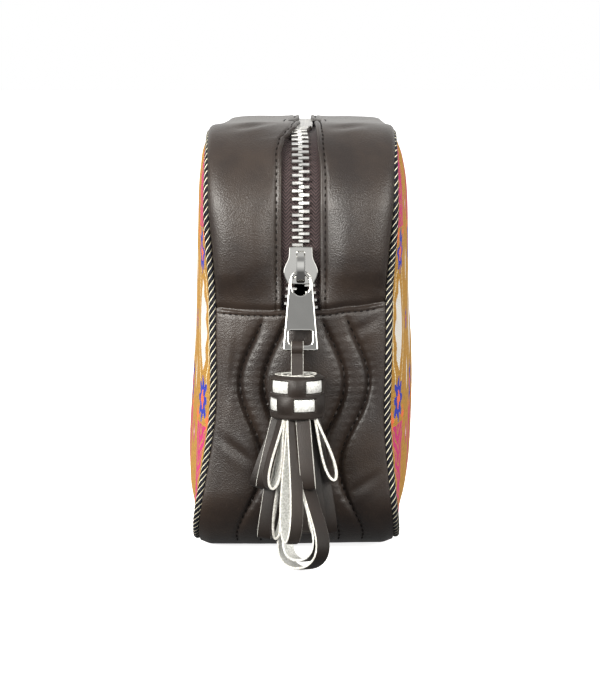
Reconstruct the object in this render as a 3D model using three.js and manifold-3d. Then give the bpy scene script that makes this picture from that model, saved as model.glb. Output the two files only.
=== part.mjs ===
// A boxy clutch bag that stands on its base: two bulging cloth panels edged with cord piping, a leather gusset
// between them, a metal zip over the top and down both ends, and a pull tab that carries a looped leather tassel.
// Millimetres, +Z up. The origin is the middle of the base, on the surface that the bag stands on. +X points to
// the end with the zip pull, and +Y to the back panel.
import * as THREE from "three";
import { mergeVertices } from "three/addons/utils/BufferGeometryUtils.js";
import Module from "manifold-3d";

const wasm = await Module();
wasm.setup();

// Driving sizes of the bag.
const LENGTH = 260; // between the sewing lines of the two ends
const HEIGHT = 162.5; // from the floor to the sewing line along the top
const TOP_RADIUS = 30; // corners of the sewing line, seen from the front
const BASE_RADIUS = 24;
const SEAM_Z = 96.2; // where the zip gusset meets the base gusset, on both ends
const FIT = 0.3; // gap between neighbouring pieces

// Walls.
const LEATHER = 1.6;
const QUILTED = 2.4; // leather over padding
const CLOTH = 2;
const TAPE = 1;
const PIPING_RADIUS = 1.8;

// Half the bag's depth at the sewing line: it is nipped in where the two gussets meet.
const HALF_DEPTH = [
  { z: 0, half: 38.4 },
  { z: 62, half: 32.7 },
  { z: 96, half: 33.1 },
  { z: 134, half: 35.1 },
  { z: HEIGHT, half: 34.9 },
];

// The leather beside the zip puffs up between the zip and the piping, and creases where it turns the corner.
const ZIP_PUFF = [
  { fromSeam: 0, puff: 1.8 },
  { fromSeam: 30, puff: 3 },
  { fromSeam: 58, puff: 0.9 },
  { fromSeam: 84, puff: 3.6 },
  { fromSeam: 180, puff: 2.2 },
];
const ZIP_COLUMNS = [0, 0.12, 0.35, 0.65, 0.88, 1]; // shares of the way from the zip to the piping
const EDGE_LIFT = 0.6; // leather beside the piping stands this far out from the sewing line
const ZIP_LIFT = 3.4; // and this far at its folded edge beside the zip
const ZIP_EDGE = 7.2; // from the middle of the zip to that folded edge

// The padded base gusset: its crown on the ends, and the stitch lines that wave down it.
const END_CROWN = 4.6;
const STITCH_LINES = [
  { line: "inner", fromMiddle: 10.4, sink: 2 },
  { line: "outer", fromMiddle: 19.6, sink: 2 },
];
const WAVE = { sway: 5, length: 64, crestBelowSeam: 28, startsOver: 12 };

// The cloth panels: they bulge most low down, and round off steeply to a thin turned edge behind the piping.
const PANEL = { inset: 1.2, rim: 1, middleZ: 76, rings: [0, 0.55, 0.85, 0.94, 1] };
const BULGE = { low: 10, lowZ: 18, top: 6.6, topZ: 137 };

// The zip, measured out from the sewing line and across from its middle.
const CHAIN = { half: 3.6, valley: 2.7, bottom: 1.8, top: 3.5, pitch: 3.1, row: 3.4 };
const TAPE_LIFT = 1.5;
const TAPE_EDGE = 14;
const TAPE_TUCK = 2.5; // the tape ends under the base gusset
// How far the two rows of teeth part, below the top of the slider.
const PARTING = [
  { down: 6.5, half: 0 },
  { down: 8.7, half: 1.5 },
  { down: 14, half: 2.2 },
  { down: 24, half: 3.2 },
];

// The slider, as a bell-shaped plate with flanges, a wedge, an under plate and a bridge for the pull tab.
const SLIDER = { topZ: 120.2, plate: 1.2, flange: 0.55, wedge: 0.9, underLength: 15.4 };
const SLIDER_HALF_WIDTH = [
  { down: 0, half: 4.5 },
  { down: 5.6, half: 4.7 },
  { down: 9.3, half: 5.8 },
  { down: 11.9, half: 6.6 },
  { down: 14.4, half: 6.5 },
  { down: 16.3, half: 5.8 },
  { down: 17.5, half: 4.6 },
];
const BRIDGE = { half: 1.2, topZ: 118.2, bottomZ: 107.2, inside: 3.4, thickness: 1.3 };

// The pull tab hangs on the bridge by its ring and leans out over the tassel. Sizes run down from its pivot.
const TAB = { z: 110.2, lift: 1.7, lean: 14, thickness: 1.8, eye: 0.9, eyeEnd: 8, eyeHalf: 3.1 };
const TAB_BODY = { topHalf: 4.6, endHalf: 6.7, slot: 21.9, slotEnd: 27.5, slotHalf: 4.7, end: 29.5, corner: 1.2 };

// The tassel hangs from the tab, a little to the front: a strap, a barrel head with two woven bands, and two tiers
// of loops.
const STRAP = { width: 4.6, thickness: 1.1, eye: 1.65, waist: 1.25 };
const HEAD = { fromSewingLine: 17, side: -1.2, topZ: 73.3, bottomZ: 56.5, radius: 10.4, belly: 0.6, endRadius: 9 };
const BAND = { half: 2.5, deep: 1.9, thickness: 1, over: 0.9, windows: 4, share: 0.46 };
const BANDS = [
  { name: "silver_band_upper", z: 69, turn: 0 },
  { name: "silver_band_lower", z: 62.2, turn: -27 },
];
const LACE = { width: 5, thickness: 1.3, root: 2.5 };
// A loop's half width down its length, as shares of its belly and its drop.
const LOOP_PROFILE = [
  { down: 0, half: 0.12 },
  { down: 0.3, half: 0.42 },
  { down: 0.62, half: 0.84 },
  { down: 0.84, half: 1 },
  { down: 0.95, half: 0.74 },
  { down: 1, half: 0.3 },
];
// Each loop goes from under the head to its lowest point, both given out from the bag's end and sideways to the
// back panel. Facing turns the loop: at 0 its open side looks straight out from the end, at 90 its lace does.
const LOOPS = [
  { loop: "upper left", out: [0, 2], side: [-6.5, -12.9], drop: 26.4, belly: 3, facing: 78 },
  { loop: "upper left open", out: [5, 8], side: [-4.5, -8.9], drop: 25.8, belly: 3.2, facing: 30 },
  { loop: "upper front", out: [6.5, 11], side: [2, 4.4], drop: 25.7, belly: 3.5, facing: 85 },
  { loop: "upper right open", out: [3, 6], side: [6.5, 14.2], drop: 23.1, belly: 2.6, facing: 8 },
  { loop: "lower left outer", out: [-4, -2], side: [-5, -12.6], drop: 46, belly: 4, facing: 80 },
  { loop: "lower left open", out: [0, 5], side: [-2, -8.6], drop: 46.6, belly: 3.4, facing: 20 },
  { loop: "lower front left", out: [3, 9], side: [-0.5, -2.8], drop: 47.3, belly: 3.4, facing: 50 },
  { loop: "lower front open", out: [3, 14], side: [1, 1.6], drop: 55.5, belly: 8.4, facing: -40 },
  { loop: "lower right", out: [-1, 4], side: [3, 9.1], drop: 44.4, belly: 3.6, facing: 80 },
  { loop: "lower right outer", out: [-4, -3], side: [5, 13.6], drop: 44.6, belly: 4, facing: 70 },
];

// How finely the surfaces are faceted.
const STEP = { base: 36, corner: 7, end: 17.5, top: 50, quilt: 8, cord: 8, head: 16 };
const MERGE = 1e-3;

// Values worked out from the sizes above.
const halfLength = LENGTH / 2;
const seamLift = PIPING_RADIUS + 0.2;
const sewingLine = new THREE.Path()
  .moveTo(0, seamLift)
  .lineTo(halfLength - BASE_RADIUS, seamLift)
  .absarc(halfLength - BASE_RADIUS, seamLift + BASE_RADIUS, BASE_RADIUS, -Math.PI / 2, 0)
  .absarc(halfLength - TOP_RADIUS, HEIGHT - TOP_RADIUS, TOP_RADIUS, 0, Math.PI / 2)
  .absarc(TOP_RADIUS - halfLength, HEIGHT - TOP_RADIUS, TOP_RADIUS, Math.PI / 2, Math.PI)
  .absarc(BASE_RADIUS - halfLength, seamLift + BASE_RADIUS, BASE_RADIUS, Math.PI, 1.5 * Math.PI)
  .lineTo(0, seamLift);
const lineLength = sewingLine.getLength();
const baseRun = halfLength - BASE_RADIUS;
const quarter = Math.PI / 2;
const nearSeam = baseRun + quarter * BASE_RADIUS + SEAM_Z - seamLift - BASE_RADIUS;
const farSeam = lineLength - nearSeam;
const runs = [
  { end: baseRun, step: STEP.base },
  { end: baseRun + quarter * BASE_RADIUS, step: STEP.corner },
  { end: lineLength / 2 - halfLength + TOP_RADIUS - quarter * TOP_RADIUS, step: STEP.end },
  { end: lineLength / 2 - halfLength + TOP_RADIUS, step: STEP.corner },
  { end: lineLength / 2 + halfLength - TOP_RADIUS, step: STEP.top },
  { end: lineLength / 2 + halfLength - TOP_RADIUS + quarter * TOP_RADIUS, step: STEP.corner },
  { end: lineLength - baseRun - quarter * BASE_RADIUS, step: STEP.end },
  { end: lineLength - baseRun, step: STEP.corner },
  { end: lineLength, step: STEP.base },
];
const pipingY = 0.6; // the piping's middle lies this far beyond the sewing line
const leatherEdge = PIPING_RADIUS + FIT - pipingY; // the leather stops this far short of it
const zipDirection = nearSeam - SEAM_Z; // on the near end, distance along the line less height

// Finish of each kind of piece. Every piece gets a material of its own from it.
const FINISHES = {
  leather: { color: 0x3d3431, roughness: 0.45 },
  cloth: { color: 0xb5893f, roughness: 0.9 },
  piping: { color: 0x1d2036, roughness: 0.8 },
  tape: { color: 0x4a3535, roughness: 0.85 },
  metal: { color: 0xc8c8c6, roughness: 0.15, metalness: 1 },
  lace: { color: 0x443a36, roughness: 0.55 },
  silver: { color: 0xcfcfcb, roughness: 0.4, metalness: 0.6 },
};

// Reads a table at a place between its rows, easing from each row to the next.
function fromTable(table, key, value, place) {
  const after = table.findIndex((row) => row[key] >= place);
  if (after === 0) return table[0][value];
  if (after < 0) return table.at(-1)[value];
  const [low, high] = [table[after - 1], table[after]];
  const share = THREE.MathUtils.smoothstep(place, low[key], high[key]);
  return THREE.MathUtils.lerp(low[value], high[value], share);
}

const halfDepthAt = (z) => fromTable(HALF_DEPTH, "z", "half", z);
const partingAt = (z) => fromTable(PARTING, "down", "half", SLIDER.topZ - z);

// The sewing line at a distance from the middle of the base, with the direction that points out of the bag.
function onLine(along) {
  const share = THREE.MathUtils.euclideanModulo(along, lineLength) / lineLength;
  const point = sewingLine.getPoint(share);
  const tangent = sewingLine.getTangent(share);
  return { x: point.x, z: point.y, outX: tangent.y, outZ: -tangent.x };
}

// A point of a strip that follows the sewing line, lifted out from it.
function onStrip(along, y, lift) {
  const line = onLine(along);
  return new THREE.Vector3(line.x + lift * line.outX, y, line.z + lift * line.outZ);
}

// A bare geometry with its corners merged, without the triangles that have shrunk to a line.
function clean(geometry) {
  const bare = geometry.clone();
  bare.deleteAttribute("normal");
  bare.deleteAttribute("uv");
  const merged = mergeVertices(bare, MERGE);
  const kept = [];
  const index = merged.index.array;
  for (let i = 0; i < index.length; i += 3) {
    const [a, b, c] = index.slice(i, i + 3);
    if (a !== b && b !== c && c !== a) kept.push(a, b, c);
  }
  merged.setIndex(kept);
  merged.computeVertexNormals();
  return merged;
}

// A closed wall between two grids of points, grid[row][column]. A ring's last column is its first again.
function wall(outer, inner, ring = false) {
  const corners = [];
  const quad = (a, b, c, d) => corners.push(a, b, c, a, c, d);
  const lastRow = outer.length - 1;
  const lastColumn = outer[0].length - 1;
  for (let i = 0; i < lastRow; i++) {
    for (let j = 0; j < lastColumn; j++) {
      quad(outer[i][j], outer[i][j + 1], outer[i + 1][j + 1], outer[i + 1][j]);
      quad(inner[i][j], inner[i + 1][j], inner[i + 1][j + 1], inner[i][j + 1]);
    }
    if (ring) continue;
    quad(outer[i][0], outer[i + 1][0], inner[i + 1][0], inner[i][0]);
    quad(outer[i][lastColumn], inner[i][lastColumn], inner[i + 1][lastColumn], outer[i + 1][lastColumn]);
  }
  for (let j = 0; j < lastColumn; j++) {
    quad(outer[0][j], inner[0][j], inner[0][j + 1], outer[0][j + 1]);
    quad(outer[lastRow][j], outer[lastRow][j + 1], inner[lastRow][j + 1], inner[lastRow][j]);
  }
  return clean(new THREE.BufferGeometry().setFromPoints(corners));
}

// Even places from one to another, no further apart than the step.
function places(from, to, step) {
  const count = Math.ceil((to - from) / step);
  return Array.from({ length: count + 1 }, (_, i) => from + ((to - from) * i) / count);
}

// Distances along the sewing line for a strip's rows: close together where it turns a corner.
function rowsBetween(from, to) {
  const stops = [];
  for (const { end, step } of runs) {
    const start = stops.length ? stops.at(-1) : 0;
    stops.push(...places(start, end, step).slice(stops.length ? 1 : 0));
  }
  return [from, ...stops.filter((along) => along > from + 1 && along < to - 1), to];
}

// Joining and cutting of closed geometries.
function toManifold(geometry) {
  const merged = clean(geometry);
  const vertProperties = merged.attributes.position.array;
  const triVerts = new Uint32Array(merged.index.array);
  return new wasm.Manifold(new wasm.Mesh({ numProp: 3, vertProperties, triVerts }));
}

function toGeometry(solid) {
  const mesh = solid.getMesh();
  const geometry = new THREE.BufferGeometry();
  geometry.setAttribute("position", new THREE.BufferAttribute(mesh.vertProperties, 3));
  geometry.setIndex(new THREE.BufferAttribute(mesh.triVerts, 1));
  geometry.computeVertexNormals();
  return geometry;
}

// One body from several that overlap, with any void closed in between them filled.
function join(pieces) {
  const joined = pieces.map(toManifold).reduce((all, piece) => all.add(piece));
  const shells = joined.decompose().sort((a, b) => b.volume() - a.volume());
  return toGeometry(shells[0]);
}

// A flat shape with a thickness, centred on its own plane.
function plate(shape, thickness, curveSegments = 6) {
  const geometry = new THREE.ExtrudeGeometry(shape, { depth: thickness, bevelEnabled: false, curveSegments });
  return geometry.translate(0, 0, -thickness / 2);
}

const polygon = (points) => new THREE.Shape(points.map(([x, y]) => new THREE.Vector2(x, y)));

// Stands a plate up on the near end: its x runs across the bag, its y runs up, its thickness points out.
const standOnEnd = new THREE.Matrix4().makeBasis(
  new THREE.Vector3(0, 1, 0),
  new THREE.Vector3(0, 0, 1),
  new THREE.Vector3(1, 0, 0),
);
// Stands a plate up along the bag: its x points out of the near end, its y runs up, its thickness across.
const standAlong = new THREE.Matrix4().makeRotationX(Math.PI / 2);

const bag = new THREE.Group();

function add(name, geometry, finish) {
  const mesh = new THREE.Mesh(geometry, new THREE.MeshStandardMaterial(finish));
  mesh.name = name;
  bag.add(mesh);
  return mesh;
}

// A piece on the back of the bag, and its mirror image on the front.
function addPair(name, geometry, finish) {
  add("back_" + name, geometry, finish);
  add("front_" + name, geometry, finish).scale.y = -1;
}

// Cloth panel: rings from its middle out to a thin turned edge behind the piping.
function panel() {
  const outer = [];
  const inner = [];
  for (const share of PANEL.rings) {
    const thickness = THREE.MathUtils.lerp(CLOTH, PANEL.rim, share ** 4);
    const outerRing = [];
    const innerRing = [];
    for (const along of rowsBetween(0, lineLength)) {
      const edge = onStrip(along, 0, -PANEL.inset);
      const x = edge.x * share;
      const z = THREE.MathUtils.lerp(PANEL.middleZ, edge.z, share);
      const rimY = halfDepthAt(edge.z) + pipingY + PIPING_RADIUS + PANEL.rim;
      const levelY = halfDepthAt(HEIGHT) + pipingY + PIPING_RADIUS + PANEL.rim;
      const upward = THREE.MathUtils.smoothstep(z, BULGE.lowZ, BULGE.topZ);
      const downward = Math.max(0, BULGE.lowZ - z) / (BULGE.lowZ - seamLift);
      const lengthways = 1 - (Math.abs(x) / halfLength) ** 1.5;
      const bulge = THREE.MathUtils.lerp(BULGE.low, BULGE.top, upward) * lengthways * (1 - downward ** 1.2);
      const y = THREE.MathUtils.lerp(levelY + bulge, rimY, share ** 9);
      outerRing.push(new THREE.Vector3(x, y, z));
      innerRing.push(new THREE.Vector3(x, y - thickness, z));
    }
    outer.push(outerRing);
    inner.push(innerRing);
  }
  return wall(outer, inner, true);
}

// Piping: a closed cord along the sewing line.
function piping() {
  const corners = [];
  const rings = rowsBetween(0, lineLength).map((along) => {
    const y = halfDepthAt(onLine(along).z) + pipingY;
    return Array.from({ length: STEP.cord + 1 }, (_, i) => {
      const angle = (2 * Math.PI * i) / STEP.cord;
      return onStrip(along, y + PIPING_RADIUS * Math.cos(angle), PIPING_RADIUS * Math.sin(angle));
    });
  });
  for (let i = 0; i < rings.length - 1; i++) {
    for (let j = 0; j < STEP.cord; j++) {
      const [a, b, c, d] = [rings[i][j], rings[i + 1][j], rings[i + 1][j + 1], rings[i][j + 1]];
      corners.push(a, b, c, a, c, d);
    }
  }
  return clean(new THREE.BufferGeometry().setFromPoints(corners));
}

// Leather beside the zip: from its folded edge over a puff to the piping.
function zipGusset() {
  const outer = [];
  const inner = [];
  for (const along of rowsBetween(nearSeam + FIT, farSeam - FIT)) {
    const fromSeam = Math.min(along - nearSeam, farSeam - along);
    const puff = fromTable(ZIP_PUFF, "fromSeam", "puff", fromSeam);
    const edge = halfDepthAt(onLine(along).z) - leatherEdge;
    const outerRow = [];
    const innerRow = [];
    for (const share of ZIP_COLUMNS) {
      const y = THREE.MathUtils.lerp(ZIP_EDGE, edge, share);
      const round = puff * Math.sin(Math.PI * share) ** 0.5;
      const lift = THREE.MathUtils.lerp(ZIP_LIFT, EDGE_LIFT, share ** 3) + round;
      outerRow.push(onStrip(along, y, lift));
      innerRow.push(onStrip(along, y, lift - LEATHER));
    }
    outer.push(outerRow);
    inner.push(innerRow);
  }
  return wall(outer, inner);
}

// Padded base gusset: up both ends and flat under the bag, with columns that follow the waving stitch lines.
function baseGusset() {
  const outer = [];
  const inner = [];
  const ends = places(baseRun, nearSeam - FIT, STEP.quilt);
  const flat = places(-baseRun, baseRun, STEP.base).slice(1, -1);
  const alongs = [...ends.map((along) => -along).reverse(), ...flat, ...ends];
  for (const along of alongs) {
    const line = onLine(along);
    const standing = Math.max(0, -line.outZ); // 0 on the ends, 1 under the bag
    const belowSeam = nearSeam - Math.abs(along);
    const swing = (2 * Math.PI * (belowSeam - WAVE.crestBelowSeam)) / WAVE.length;
    const sway = WAVE.sway * Math.cos(swing);
    const edge = halfDepthAt(line.z) - leatherEdge;
    const depth = THREE.MathUtils.smoothstep(belowSeam, 0, WAVE.startsOver) * (1 - standing);
    const [innerLine, outerLine] = STITCH_LINES.map(({ fromMiddle, sink }) => ({
      y: fromMiddle + sway,
      sink: sink * depth,
    }));
    const columns = [
      { y: 0, sink: 0 },
      innerLine,
      { y: (innerLine.y + outerLine.y) / 2, sink: 0 },
      outerLine,
      { y: (outerLine.y + edge) / 2, sink: 0 },
      { y: edge, sink: 0 },
    ];
    const mirrored = columns.slice(1).map((column) => ({ ...column, y: -column.y }));
    const outerRow = [];
    const innerRow = [];
    for (const { y, sink } of [...mirrored.reverse(), ...columns]) {
      const pillow = (1 - (y / edge) ** 2) ** 0.7;
      const crown = END_CROWN * pillow * (1 - standing);
      const lift = THREE.MathUtils.lerp(EDGE_LIFT, seamLift, standing) + crown - sink;
      outerRow.push(onStrip(along, y, lift));
      innerRow.push(onStrip(along, y, lift - QUILTED));
    }
    outer.push(outerRow);
    inner.push(innerRow);
  }
  return wall(outer, inner);
}

// Half the gap between the two rows of teeth. They part only below the slider on the near end.
function gapAt(along) {
  return along > nearSeam + SLIDER.topZ - SEAM_Z ? 0 : partingAt(along - zipDirection);
}

// Zip tape: a flat strip under the folded edge of the leather.
function zipTape() {
  const outer = [];
  const inner = [];
  const near = places(nearSeam - TAPE_TUCK, nearSeam + SLIDER.topZ - SEAM_Z, 3);
  const rest = rowsBetween(near.at(-1), farSeam + TAPE_TUCK).slice(1);
  for (const along of [...near, ...rest]) {
    const ys = [FIT + gapAt(along), TAPE_EDGE];
    outer.push(ys.map((y) => onStrip(along, y, TAPE_LIFT)));
    inner.push(ys.map((y) => onStrip(along, y, TAPE_LIFT - TAPE)));
  }
  return wall(outer, inner);
}

// A run of zip teeth between two edges, as a rack whose crests alternate.
function teeth(alongs, edgesAt) {
  const outer = [];
  const inner = [];
  alongs.forEach((along, i) => {
    const ys = edgesAt(along, i);
    outer.push(ys.map((y) => onStrip(along, y, CHAIN.top)));
    inner.push(ys.map((y) => onStrip(along, y, CHAIN.bottom)));
  });
  return wall(outer, inner);
}

// The whole zip chain: closed teeth, parting into two rows through the slider.
function zipChain() {
  const crest = (i) => (i % 2 ? CHAIN.half : CHAIN.valley);
  const partedAt = nearSeam + SLIDER.topZ - PARTING[0].down - SEAM_Z;
  const closed = places(partedAt, farSeam - FIT, CHAIN.pitch / 2);
  const parted = places(nearSeam + FIT, partedAt + CHAIN.pitch, CHAIN.pitch / 2);
  const row = (along, i) => [gapAt(along), gapAt(along) + crest(i) - CHAIN.half + CHAIN.row];
  return join([
    teeth(closed, (along, i) => [-crest(i), crest(i + 1)]),
    teeth(parted, row),
    teeth(parted, (along, i) => row(along, i + 1).map((y) => -y).reverse()),
  ]);
}

// Slider: plates above and below the tape on a wedge, flanges over the teeth, and a bridge for the tab.
function zipSlider() {
  const outward = halfLength + CHAIN.top + FIT; // the upper plate's under side
  const heightOf = (down) => SLIDER.topZ - down;
  const side = SLIDER_HALF_WIDTH.map((row) => [row.half, heightOf(row.down)]);
  const bell = polygon([...side, ...side.map(([y, z]) => [-y, z]).reverse()]);
  const upper = plate(bell, SLIDER.plate).applyMatrix4(standOnEnd).translate(outward + SLIDER.plate / 2, 0, 0);

  const flangeDepth = CHAIN.top - CHAIN.bottom + FIT;
  const flangeRun = side.slice(0, -2);
  const flangeOutline = [...flangeRun, ...flangeRun.map(([y, z]) => [y - SLIDER.flange, z]).reverse()];
  const flanges = [1, -1].map((hand) => {
    const outline = flangeOutline.map(([y, z]) => [hand * y, z]);
    const flange = plate(polygon(outline), flangeDepth + SLIDER.plate).applyMatrix4(standOnEnd);
    return flange.translate(outward + (SLIDER.plate - flangeDepth) / 2, 0, 0);
  });

  const underOutward = halfLength + TAPE_LIFT - TAPE - FIT; // the under plate's outer side
  const under = new THREE.BoxGeometry(SLIDER.plate, 2 * ZIP_EDGE - 4, SLIDER.underLength);
  under.translate(underOutward - SLIDER.plate / 2, 0, heightOf(SLIDER.underLength / 2));
  const wedgeDepth = outward - underOutward + SLIDER.plate;
  const wedgeTop = heightOf(PARTING[1].down + 0.3);
  const wedgeBottom = heightOf(PARTING[2].down);
  const wedge = new THREE.BoxGeometry(wedgeDepth, 2 * SLIDER.wedge, wedgeTop - wedgeBottom);
  wedge.translate((outward + underOutward) / 2, 0, (wedgeTop + wedgeBottom) / 2);

  const face = outward + SLIDER.plate;
  const bridgeSide = (lift, inset) => [
    [face - 0.4, BRIDGE.bottomZ + inset],
    [face + lift * 0.6, BRIDGE.bottomZ + inset],
    [face + lift, BRIDGE.bottomZ + inset + 1.4],
    [face + lift, BRIDGE.topZ - inset - 1.4],
    [face + lift * 0.6, BRIDGE.topZ - inset],
    [face - 0.4, BRIDGE.topZ - inset],
  ];
  const arch = [
    ...bridgeSide(BRIDGE.inside + BRIDGE.thickness, 0),
    ...bridgeSide(BRIDGE.inside, BRIDGE.thickness).reverse(),
  ];
  const bridge = plate(polygon(arch), 2 * BRIDGE.half).applyMatrix4(standAlong);
  return join([upper, ...flanges, under, wedge, bridge]);
}

// The pull tab's own outline, eye and slot, hanging down from its pivot at the origin.
function pullTab() {
  const { topHalf, endHalf, slot, slotEnd, slotHalf, end, corner } = TAB_BODY;
  const shape = new THREE.Shape()
    .moveTo(topHalf, -TAB.eyeEnd / 2)
    .lineTo(endHalf, -end)
    .lineTo(-endHalf, -end)
    .lineTo(-topHalf, -TAB.eyeEnd / 2)
    .absellipse(0, -TAB.eyeEnd / 2, topHalf, TAB.eyeEnd / 2 + TAB.eye, Math.PI, 0, true);
  const eyeMiddle = (TAB.eye + TAB.eyeEnd) / 2;
  const eye = new THREE.Path().absellipse(
    0, -eyeMiddle, TAB.eyeHalf, (TAB.eyeEnd - TAB.eye) / 2, 0, 2 * Math.PI, false,
  );
  const opening = new THREE.Path()
    .moveTo(slotHalf, -slot)
    .lineTo(-slotHalf, -slot)
    .lineTo(-slotHalf, corner - slotEnd)
    .lineTo(corner - slotHalf, -slotEnd)
    .lineTo(slotHalf - corner, -slotEnd)
    .lineTo(slotHalf, corner - slotEnd);
  shape.holes.push(eye, opening);
  return plate(shape, TAB.thickness).applyMatrix4(standOnEnd);
}

// Strap: a loop round the tab's lower bar, closing into one flat strip down to the head.
function tasselStrap(bar) {
  const outside = STRAP.eye + STRAP.thickness;
  const end = HEAD.topZ + FIT;
  const headX = halfLength + HEAD.fromSewingLine;
  const waistZ = bar.z - outside - 1;
  const shape = new THREE.Shape()
    .moveTo(headX + STRAP.waist, end)
    .lineTo(bar.x + STRAP.waist, waistZ)
    .absarc(bar.x, bar.z, outside, -0.3 * Math.PI, 1.3 * Math.PI)
    .lineTo(bar.x - STRAP.waist, waistZ)
    .lineTo(headX - STRAP.waist, end);
  shape.holes.push(new THREE.Path().absarc(bar.x, bar.z, STRAP.eye, 0, 2 * Math.PI));
  return plate(shape, STRAP.width).applyMatrix4(standAlong).translate(0, HEAD.side, 0);
}

// The head's radius at a height: a slight barrel.
function headRadiusAt(z) {
  const share = (z - HEAD.bottomZ) / (HEAD.topZ - HEAD.bottomZ);
  return HEAD.radius + HEAD.belly * Math.sin(Math.PI * share);
}

// The angles round the head where a leather strip crosses over a woven band.
function crossings(turn) {
  return Array.from({ length: BAND.windows }, (_, i) => ((turn + (360 * i) / BAND.windows) * Math.PI) / 180);
}

// Head of the tassel: a barrel with a groove for each woven band, and strips crossing over the bands.
function tasselHead() {
  const { topZ, bottomZ, radius, endRadius } = HEAD;
  const shoulder = 1.2;
  const outside = (z) => [headRadiusAt(z), z];
  const profile = [[0, bottomZ], [endRadius, bottomZ], outside(bottomZ + shoulder)];
  for (const band of [...BANDS].reverse()) {
    const floor = headRadiusAt(band.z) - BAND.deep;
    const [low, high] = [band.z - BAND.half, band.z + BAND.half];
    profile.push(outside(low), [floor, low], [floor, high], outside(high));
  }
  profile.push(outside(topZ - shoulder), [endRadius, topZ], [0, topZ]);
  const barrel = new THREE.LatheGeometry(profile.map(([r, z]) => new THREE.Vector2(r, z)), STEP.head);
  barrel.rotateX(Math.PI / 2);
  const strips = BANDS.flatMap((band) =>
    crossings(band.turn).map((turn) => {
      const width = (2 * Math.PI * radius * BAND.share) / BAND.windows;
      const strip = new THREE.BoxGeometry(BAND.over, width, 2 * BAND.half + 2);
      return strip.translate(headRadiusAt(band.z) - 0.1, 0, band.z).rotateZ(turn);
    }),
  );
  return { barrel, strips };
}

// A silver band that lies in its groove, under the crossing strips.
function silverBand(band) {
  const inside = headRadiusAt(band.z) - BAND.deep + FIT;
  const half = BAND.half - FIT;
  const outside = inside + BAND.thickness - 2 * FIT;
  const section = [[inside, -half], [outside, -half], [outside, half], [inside, half], [inside, -half]];
  const ring = new THREE.LatheGeometry(section.map(([r, z]) => new THREE.Vector2(r, z)), STEP.head);
  return ring.rotateX(Math.PI / 2).translate(halfLength + HEAD.fromSewingLine, HEAD.side, band.z);
}

// One lace loop: a drop-shaped ring of lace, hung from under the head.
function laceLoop({ out, side, drop, belly, facing }) {
  const dropShape = (length, half, start) => {
    const side = LOOP_PROFILE.map((row) => [half * row.half, -(start + (length - start) * row.down)]);
    return [...side.map(([x, y]) => [-x, y]), ...side.reverse()];
  };
  const shape = polygon(dropShape(drop + LACE.root, belly + LACE.thickness / 2, 0));
  const hole = dropShape(drop + LACE.root - LACE.thickness, belly - LACE.thickness / 2, LACE.root + 4);
  shape.holes.push(polygon(hole));
  const root = new THREE.Vector3(out[0], side[0], LACE.root);
  const tip = new THREE.Vector3(out[1], side[1], -drop);
  const up = root.clone().sub(tip).normalize();
  const turn = (facing * Math.PI) / 180;
  const normal = new THREE.Vector3(Math.cos(turn), Math.sin(turn), 0);
  normal.addScaledVector(up, -normal.dot(up)).normalize();
  const across = new THREE.Vector3().crossVectors(up, normal);
  const placed = new THREE.Matrix4().makeBasis(across, up, normal).setPosition(root);
  return plate(shape, LACE.width).applyMatrix4(placed).translate(0, 0, HEAD.bottomZ);
}

function tassel() {
  const { barrel, strips } = tasselHead();
  const joined = join([barrel, ...strips, ...LOOPS.map(laceLoop)]);
  return joined.translate(halfLength + HEAD.fromSewingLine, HEAD.side, 0);
}

addPair("panel", panel(), FINISHES.cloth);
addPair("piping", piping(), FINISHES.piping);
addPair("zip_gusset", zipGusset(), FINISHES.leather);
addPair("zip_tape", zipTape(), FINISHES.tape);
add("base_gusset", baseGusset(), FINISHES.leather);
add("zip_chain", zipChain(), FINISHES.metal);
add("zip_slider", zipSlider(), FINISHES.metal);

// The pull tab turns about its pivot in the bridge, and the tassel hangs plumb from the tab's lower bar.
const pivotX = halfLength + CHAIN.top + FIT + SLIDER.plate + TAB.lift;
const lean = (TAB.lean * Math.PI) / 180;
const pull = add("pull_tab", pullTab(), FINISHES.metal);
pull.position.set(pivotX, 0, TAB.z);
pull.rotation.y = -lean;
const barDown = (TAB_BODY.slotEnd + TAB_BODY.end) / 2;
const bar = { x: pivotX + barDown * Math.sin(lean), z: TAB.z - barDown * Math.cos(lean) };
add("tassel_strap", tasselStrap(bar), FINISHES.lace);
add("tassel", tassel(), FINISHES.lace);
for (const band of BANDS) add(band.name, silverBand(band), FINISHES.silver);

export default bag;
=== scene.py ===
import math
from functools import partial
import bmesh
import bpy
import numpy as np
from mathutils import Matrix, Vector


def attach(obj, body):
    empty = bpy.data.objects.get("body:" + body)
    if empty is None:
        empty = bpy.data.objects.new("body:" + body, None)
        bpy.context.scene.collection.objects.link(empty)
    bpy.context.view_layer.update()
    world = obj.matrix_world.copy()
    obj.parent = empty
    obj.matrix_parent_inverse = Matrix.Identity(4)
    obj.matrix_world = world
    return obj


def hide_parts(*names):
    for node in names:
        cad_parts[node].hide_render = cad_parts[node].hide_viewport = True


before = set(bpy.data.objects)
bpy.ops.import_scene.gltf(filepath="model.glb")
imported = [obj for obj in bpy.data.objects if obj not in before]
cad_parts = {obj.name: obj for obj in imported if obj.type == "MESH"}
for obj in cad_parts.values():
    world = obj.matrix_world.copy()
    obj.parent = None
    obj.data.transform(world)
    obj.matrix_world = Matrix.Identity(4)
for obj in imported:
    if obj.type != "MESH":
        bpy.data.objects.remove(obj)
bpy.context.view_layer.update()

scene = bpy.context.scene
mm = 0.001  # the bag's sizes below are in millimetres, the studio's in metres
quarter = math.pi / 2

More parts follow.
